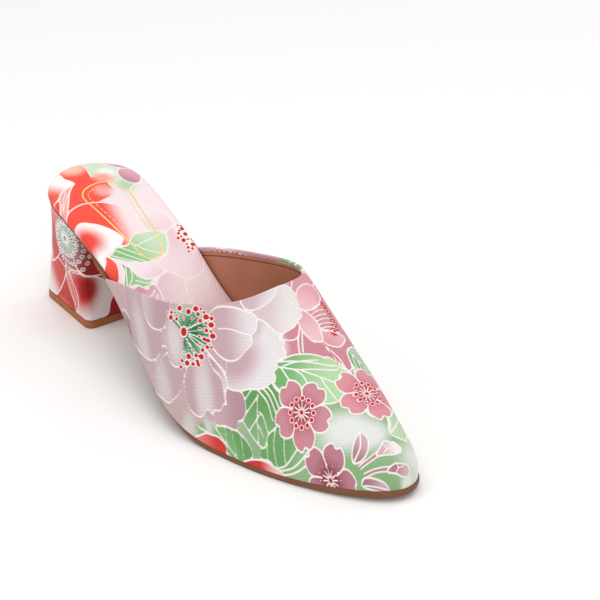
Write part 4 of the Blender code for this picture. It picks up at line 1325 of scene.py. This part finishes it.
    # Stamens of the peony: green between white filaments, and red dots on their ends
    heart = np.array((-56.0, 135.3))
    fan = p.petal([
        heart + (-1.0, -1.0), (-67, 129.6), (-62, 123.4), (-57, 118.6), (-51, 118.6), (-44.5, 117),
        (-39.5, 120), (-39, 127), (-42, 134), (-47, 139), (-51, 145), (-58, 149), (-57.4, 142),
        heart + (1.0, 1.0)], "A9C6AC", edge=0.0)
    p.wash((-52, 130), (11, 14), "3C8D58", 20, 0.85, fan)
    tiny = [
        (-45.7, 115), (-41.7, 119.5), (-50.8, 122.2), (-42, 124.2), (-48.9, 124.5), (-46.5, 126.1),
        (-40, 128.1), (-40.5, 130.5), (-47.5, 133.1), (-52.5, 138.9), (-52, 141), (-55.1, 145.9),
        (-60, 151.7), (-59.1, 123.5), (-56.3, 125), (-62.5, 130.7)]
    middle = [
        (-57.7, 118.7), (-51.1, 119.5), (-47.8, 117.5), (-45.5, 118.5), (-38, 122.5), (-43.7, 122.1),
        (-47.1, 121), (-44.1, 127.9), (-43.3, 130.7), (-56.2, 143.3), (-57.3, 148.7), (-57.3, 120.1),
        (-56.2, 122.2), (-60.5, 122.2), (-66, 130.3), (-68.7, 129.8)]
    large = [
        (-53.7, 118.7), (-42.1, 117.3), (-39.9, 121), (-40.3, 125.8), (-43, 133.5), (-47.5, 137.1),
        (-51.3, 143.8), (-59.3, 148), (-63.7, 126.3), (-60.8, 126.7)]
    p.strokes([
        (heart + 0.1 * (dot - heart), heart + 0.85 * (dot - heart)) for dot in np.array(tiny + large)],
        "1E6E3A", 1.0)
    p.lines([
        (heart + 0.22 * (dot - heart), heart + 0.9 * (dot - heart)) for dot in np.array(middle)],
        weight=0.6)
    p.dots(tiny, 0.5, 1.7, 132)
    p.dots(middle, 0.72, 1.8, 132)
    p.dots(large, 0.98, 1.9, 132)
    p.dots([heart], 1.6, 1.5, 132)

    # Red petals that show at the sole
    p.petal([
        (-52.5, 52), (-53.3, 59), (-56, 65), (-61, 71), (-67, 76), (-76, 82), (-76, 66), (-62, 48)],
        "CF2A27", "EFC4BF", (-60, 66), (-53, 56))
    p.petal([
        (-71.8, 86.4), (-69.2, 88.4), (-70.2, 93.7), (-72.5, 97.2), (-75.7, 101.7), (-80.3, 105.3),
        (-85, 109), (-94, 112), (-88, 86)], "CE332B", "E58378", (-72, 92), (-84, 108))
    p.wash((-90, 113), (7, 9), "DAD0CC")
    p.petal([
        (-104, 178), (-98.5, 182), (-96.5, 186), (-93.5, 189), (-96, 198), (-108, 198)],
        "8E5F6C", "AD8E97", (-100, 182), (-98, 196))

    # Blossoms
    p.blossom((-35.5, 32.5), 14.0, -55, "B87A87", "862C40", False)
    p.blossom((-25.5, 58.5), 15.0, -58, "C78592", "A32C40")
    p.blossom((7, 49.5), 15.5, -95, "D88E99", "B84253")

    # Buds and the pink leaf at the toe
    p.strokes([
        [(-20, 20.3), (-14, 16.8), (-8, 12.5)], [(-20, 23.5), (-13, 21.6), (-8, 20.6)]], "B98792", 2.0)
    p.lines([
        [(-21, 20), (-14, 16.4), (-7, 11.3)], [(-20, 21), (-13.5, 17.6), (-6, 12.8)],
        [(-20, 23), (-12.5, 20.6), (-8, 19.6)], [(-20, 24.2), (-13, 22.3), (-8, 21.8)]], weight=0.7)
    p.petal([
        (-9, 12.8), (-5, 9), (-2.5, 6.2), (0, 5.2), (2, 7), (1.6, 9.6), (-1, 11.5), (-4.5, 13)],
        "B07C89", "D6B4BB", (-5, 11), (1, 7))
    p.lines([[(-5.5, 9.5), (-3.5, 10.5), (-3, 12.5)], [(-3.5, 10.5), (-0.5, 10.2)]], weight=0.7)
    p.petal([
        (-10, 20.7), (-6, 18.2), (-2, 16.4), (1.5, 16.6), (2.5, 18.6), (0.5, 21.6), (-3, 24), (-6, 22.6)],
        "D3A6AF", "F3ECEC", (-7, 20.5), (1, 18))
    p.lines([[(-6.5, 19.5), (-4, 20.5), (-4.5, 22.8)], [(-4, 20.5), (-1, 19.2)]], weight=0.7)
    leaf = p.petal([
        (-21, 26.6), (-17, 24.2), (-12.5, 24.6), (-9.4, 28), (-9, 31), (-10.3, 33.3), (-15, 31.6),
        (-19, 29.2)], "A97A86", "CBA7AE", (-19, 27), (-10, 29))
    p.lines([[(-20.5, 26.7), (-14.5, 28), (-10.4, 32.8)]], leaf)
    leaf = p.petal([
        (-24.6, 19.6), (-20.5, 14.5), (-16, 10), (-13, 8.4), (-13.2, 11.5), (-17.5, 17), (-21.5, 20.2)],
        "A87683", "CBA9B0", (-23, 18), (-14, 10))
    p.lines([[(-23.5, 19), (-18, 13.8), (-13.6, 9.4)]], leaf, 0.8)
    return p


def vamp_place(across, down):
    """Fold inside the topline, round rim, and outer face to the toe."""
    round_, medial = vamp_columns(np.interp(across, (0.0, LATERAL_COLUMNS, 1.0), (-1.0, 0.0, 1.0)))
    turn = np.radians(np.interp(down, (FOLD_ROWS, RIM_ROWS), (-90.0, 90.0)))
    distance = RIM - RIM * np.cos(turn) + np.interp(down, (0.0, FOLD_ROWS), (FOLD_DEPTH, 0.0))
    rim = rim_rest(distance, round_, medial)
    rest = np.where(down < RIM_ROWS, rim, rim * (1.0 - down) / (1.0 - RIM_ROWS))
    depth = vamp_rows(np.where(down < LAST_ROW, rest, 0.0), round_, medial)
    points = vamp_form(depth, round_, medial, RIM - RIM * np.sin(turn))
    return (points, *print_vamp(vamp_chart(depth, round_, medial)).finished())


vamp_cover = new_piece("vamp_cover", skin("vamp_cover", 320, 280, vamp_place, PRINT_NUMBERS), leather)
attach(vamp_cover, "root")
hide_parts("upper")

# Lining: tan synthetic leather glued inside the vamp, with a strip of tape along the topline.
LINING_GAP = 0.0012                    # lining's rim below the topline
LINING_START = 0.00092                 # its outer face, from the cover's
LINING_END = WALL + 0.00002            # its inner face
LINING_RIM = 0.02                      # share of the rows over which it opens to its full thickness
TAPE_WIDTH = 4.5                       # mm of the strip under it, from the rim


def lining_place(around, down):
    """Outer face, then inner face, both from the rim to the toe."""
    outer = around < 0.5
    side = np.where(outer, 4.0 * around - 1.0, 3.0 - 4.0 * around)
    round_, medial = vamp_columns(np.clip(side, -1.0, 1.0))
    opened = np.interp(down, (0.0, LINING_RIM), (0.0, 0.5)) * (LINING_END - LINING_START)
    inset = (LINING_START + LINING_END) / 2.0 + np.where(outer, -opened, opened)
    rim = rim_rest(LINING_GAP, round_, medial)
    rest = np.where(down < LAST_ROW, rim * (1.0 - down), 0.0)
    points, top = (vamp_form(vamp_rows(row, round_, medial), round_, medial, inset) for row in (rest, rim))
    return points, np.linalg.norm(points - top, axis=1) * 1000.0


# Synthetic lining like pigskin: plain tan, matt, with fine pores. The tape's edge shows through as a step.
lining_leather, tree, shader = clouded_material(
    "tan_lining_leather", ("AE6B50", "C48468"), (70.0, 3.0), (1300.0, 3.0), (0.25, 0.0001),
    Roughness=0.55, Specular_IOR_Level=0.35)
below = add_node(tree, "ShaderNodeAttribute", attribute_name="below_rim").outputs["Fac"]
step = add_node(tree, "ShaderNodeMapRange", [
    ("Value", below), ("From Min", TAPE_WIDTH - 0.35), ("From Max", TAPE_WIDTH + 0.15),
    ("To Min", 1.0), ("To Max", 0.0)]).outputs["Result"]
# Painted shade: a narrow dark brown band, about 0.9 mm wide, is painted along the tape's edge where its step
# throws shade.
painted_shade_band = add_node(tree, "ShaderNodeMath", [(0, below), (1, TAPE_WIDTH), (2, 0.45)], operation="COMPARE")
plain = shader.inputs["Base Color"].links[0].from_socket
with_painted_step_shade = mix_tints(tree, painted_shade_band.outputs[0], plain, linear("8A4E30"))
tree.links.new(with_painted_step_shade, shader.inputs["Base Color"])
raise_surface(tree, shader, step, 0.8, 0.0004)

lining_mesh = skin("vamp_lining", 400, 150, lining_place, ("below_rim",))
vamp_lining = new_piece("vamp_lining", lining_mesh, lining_leather)
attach(vamp_lining, "root")
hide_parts("upper")
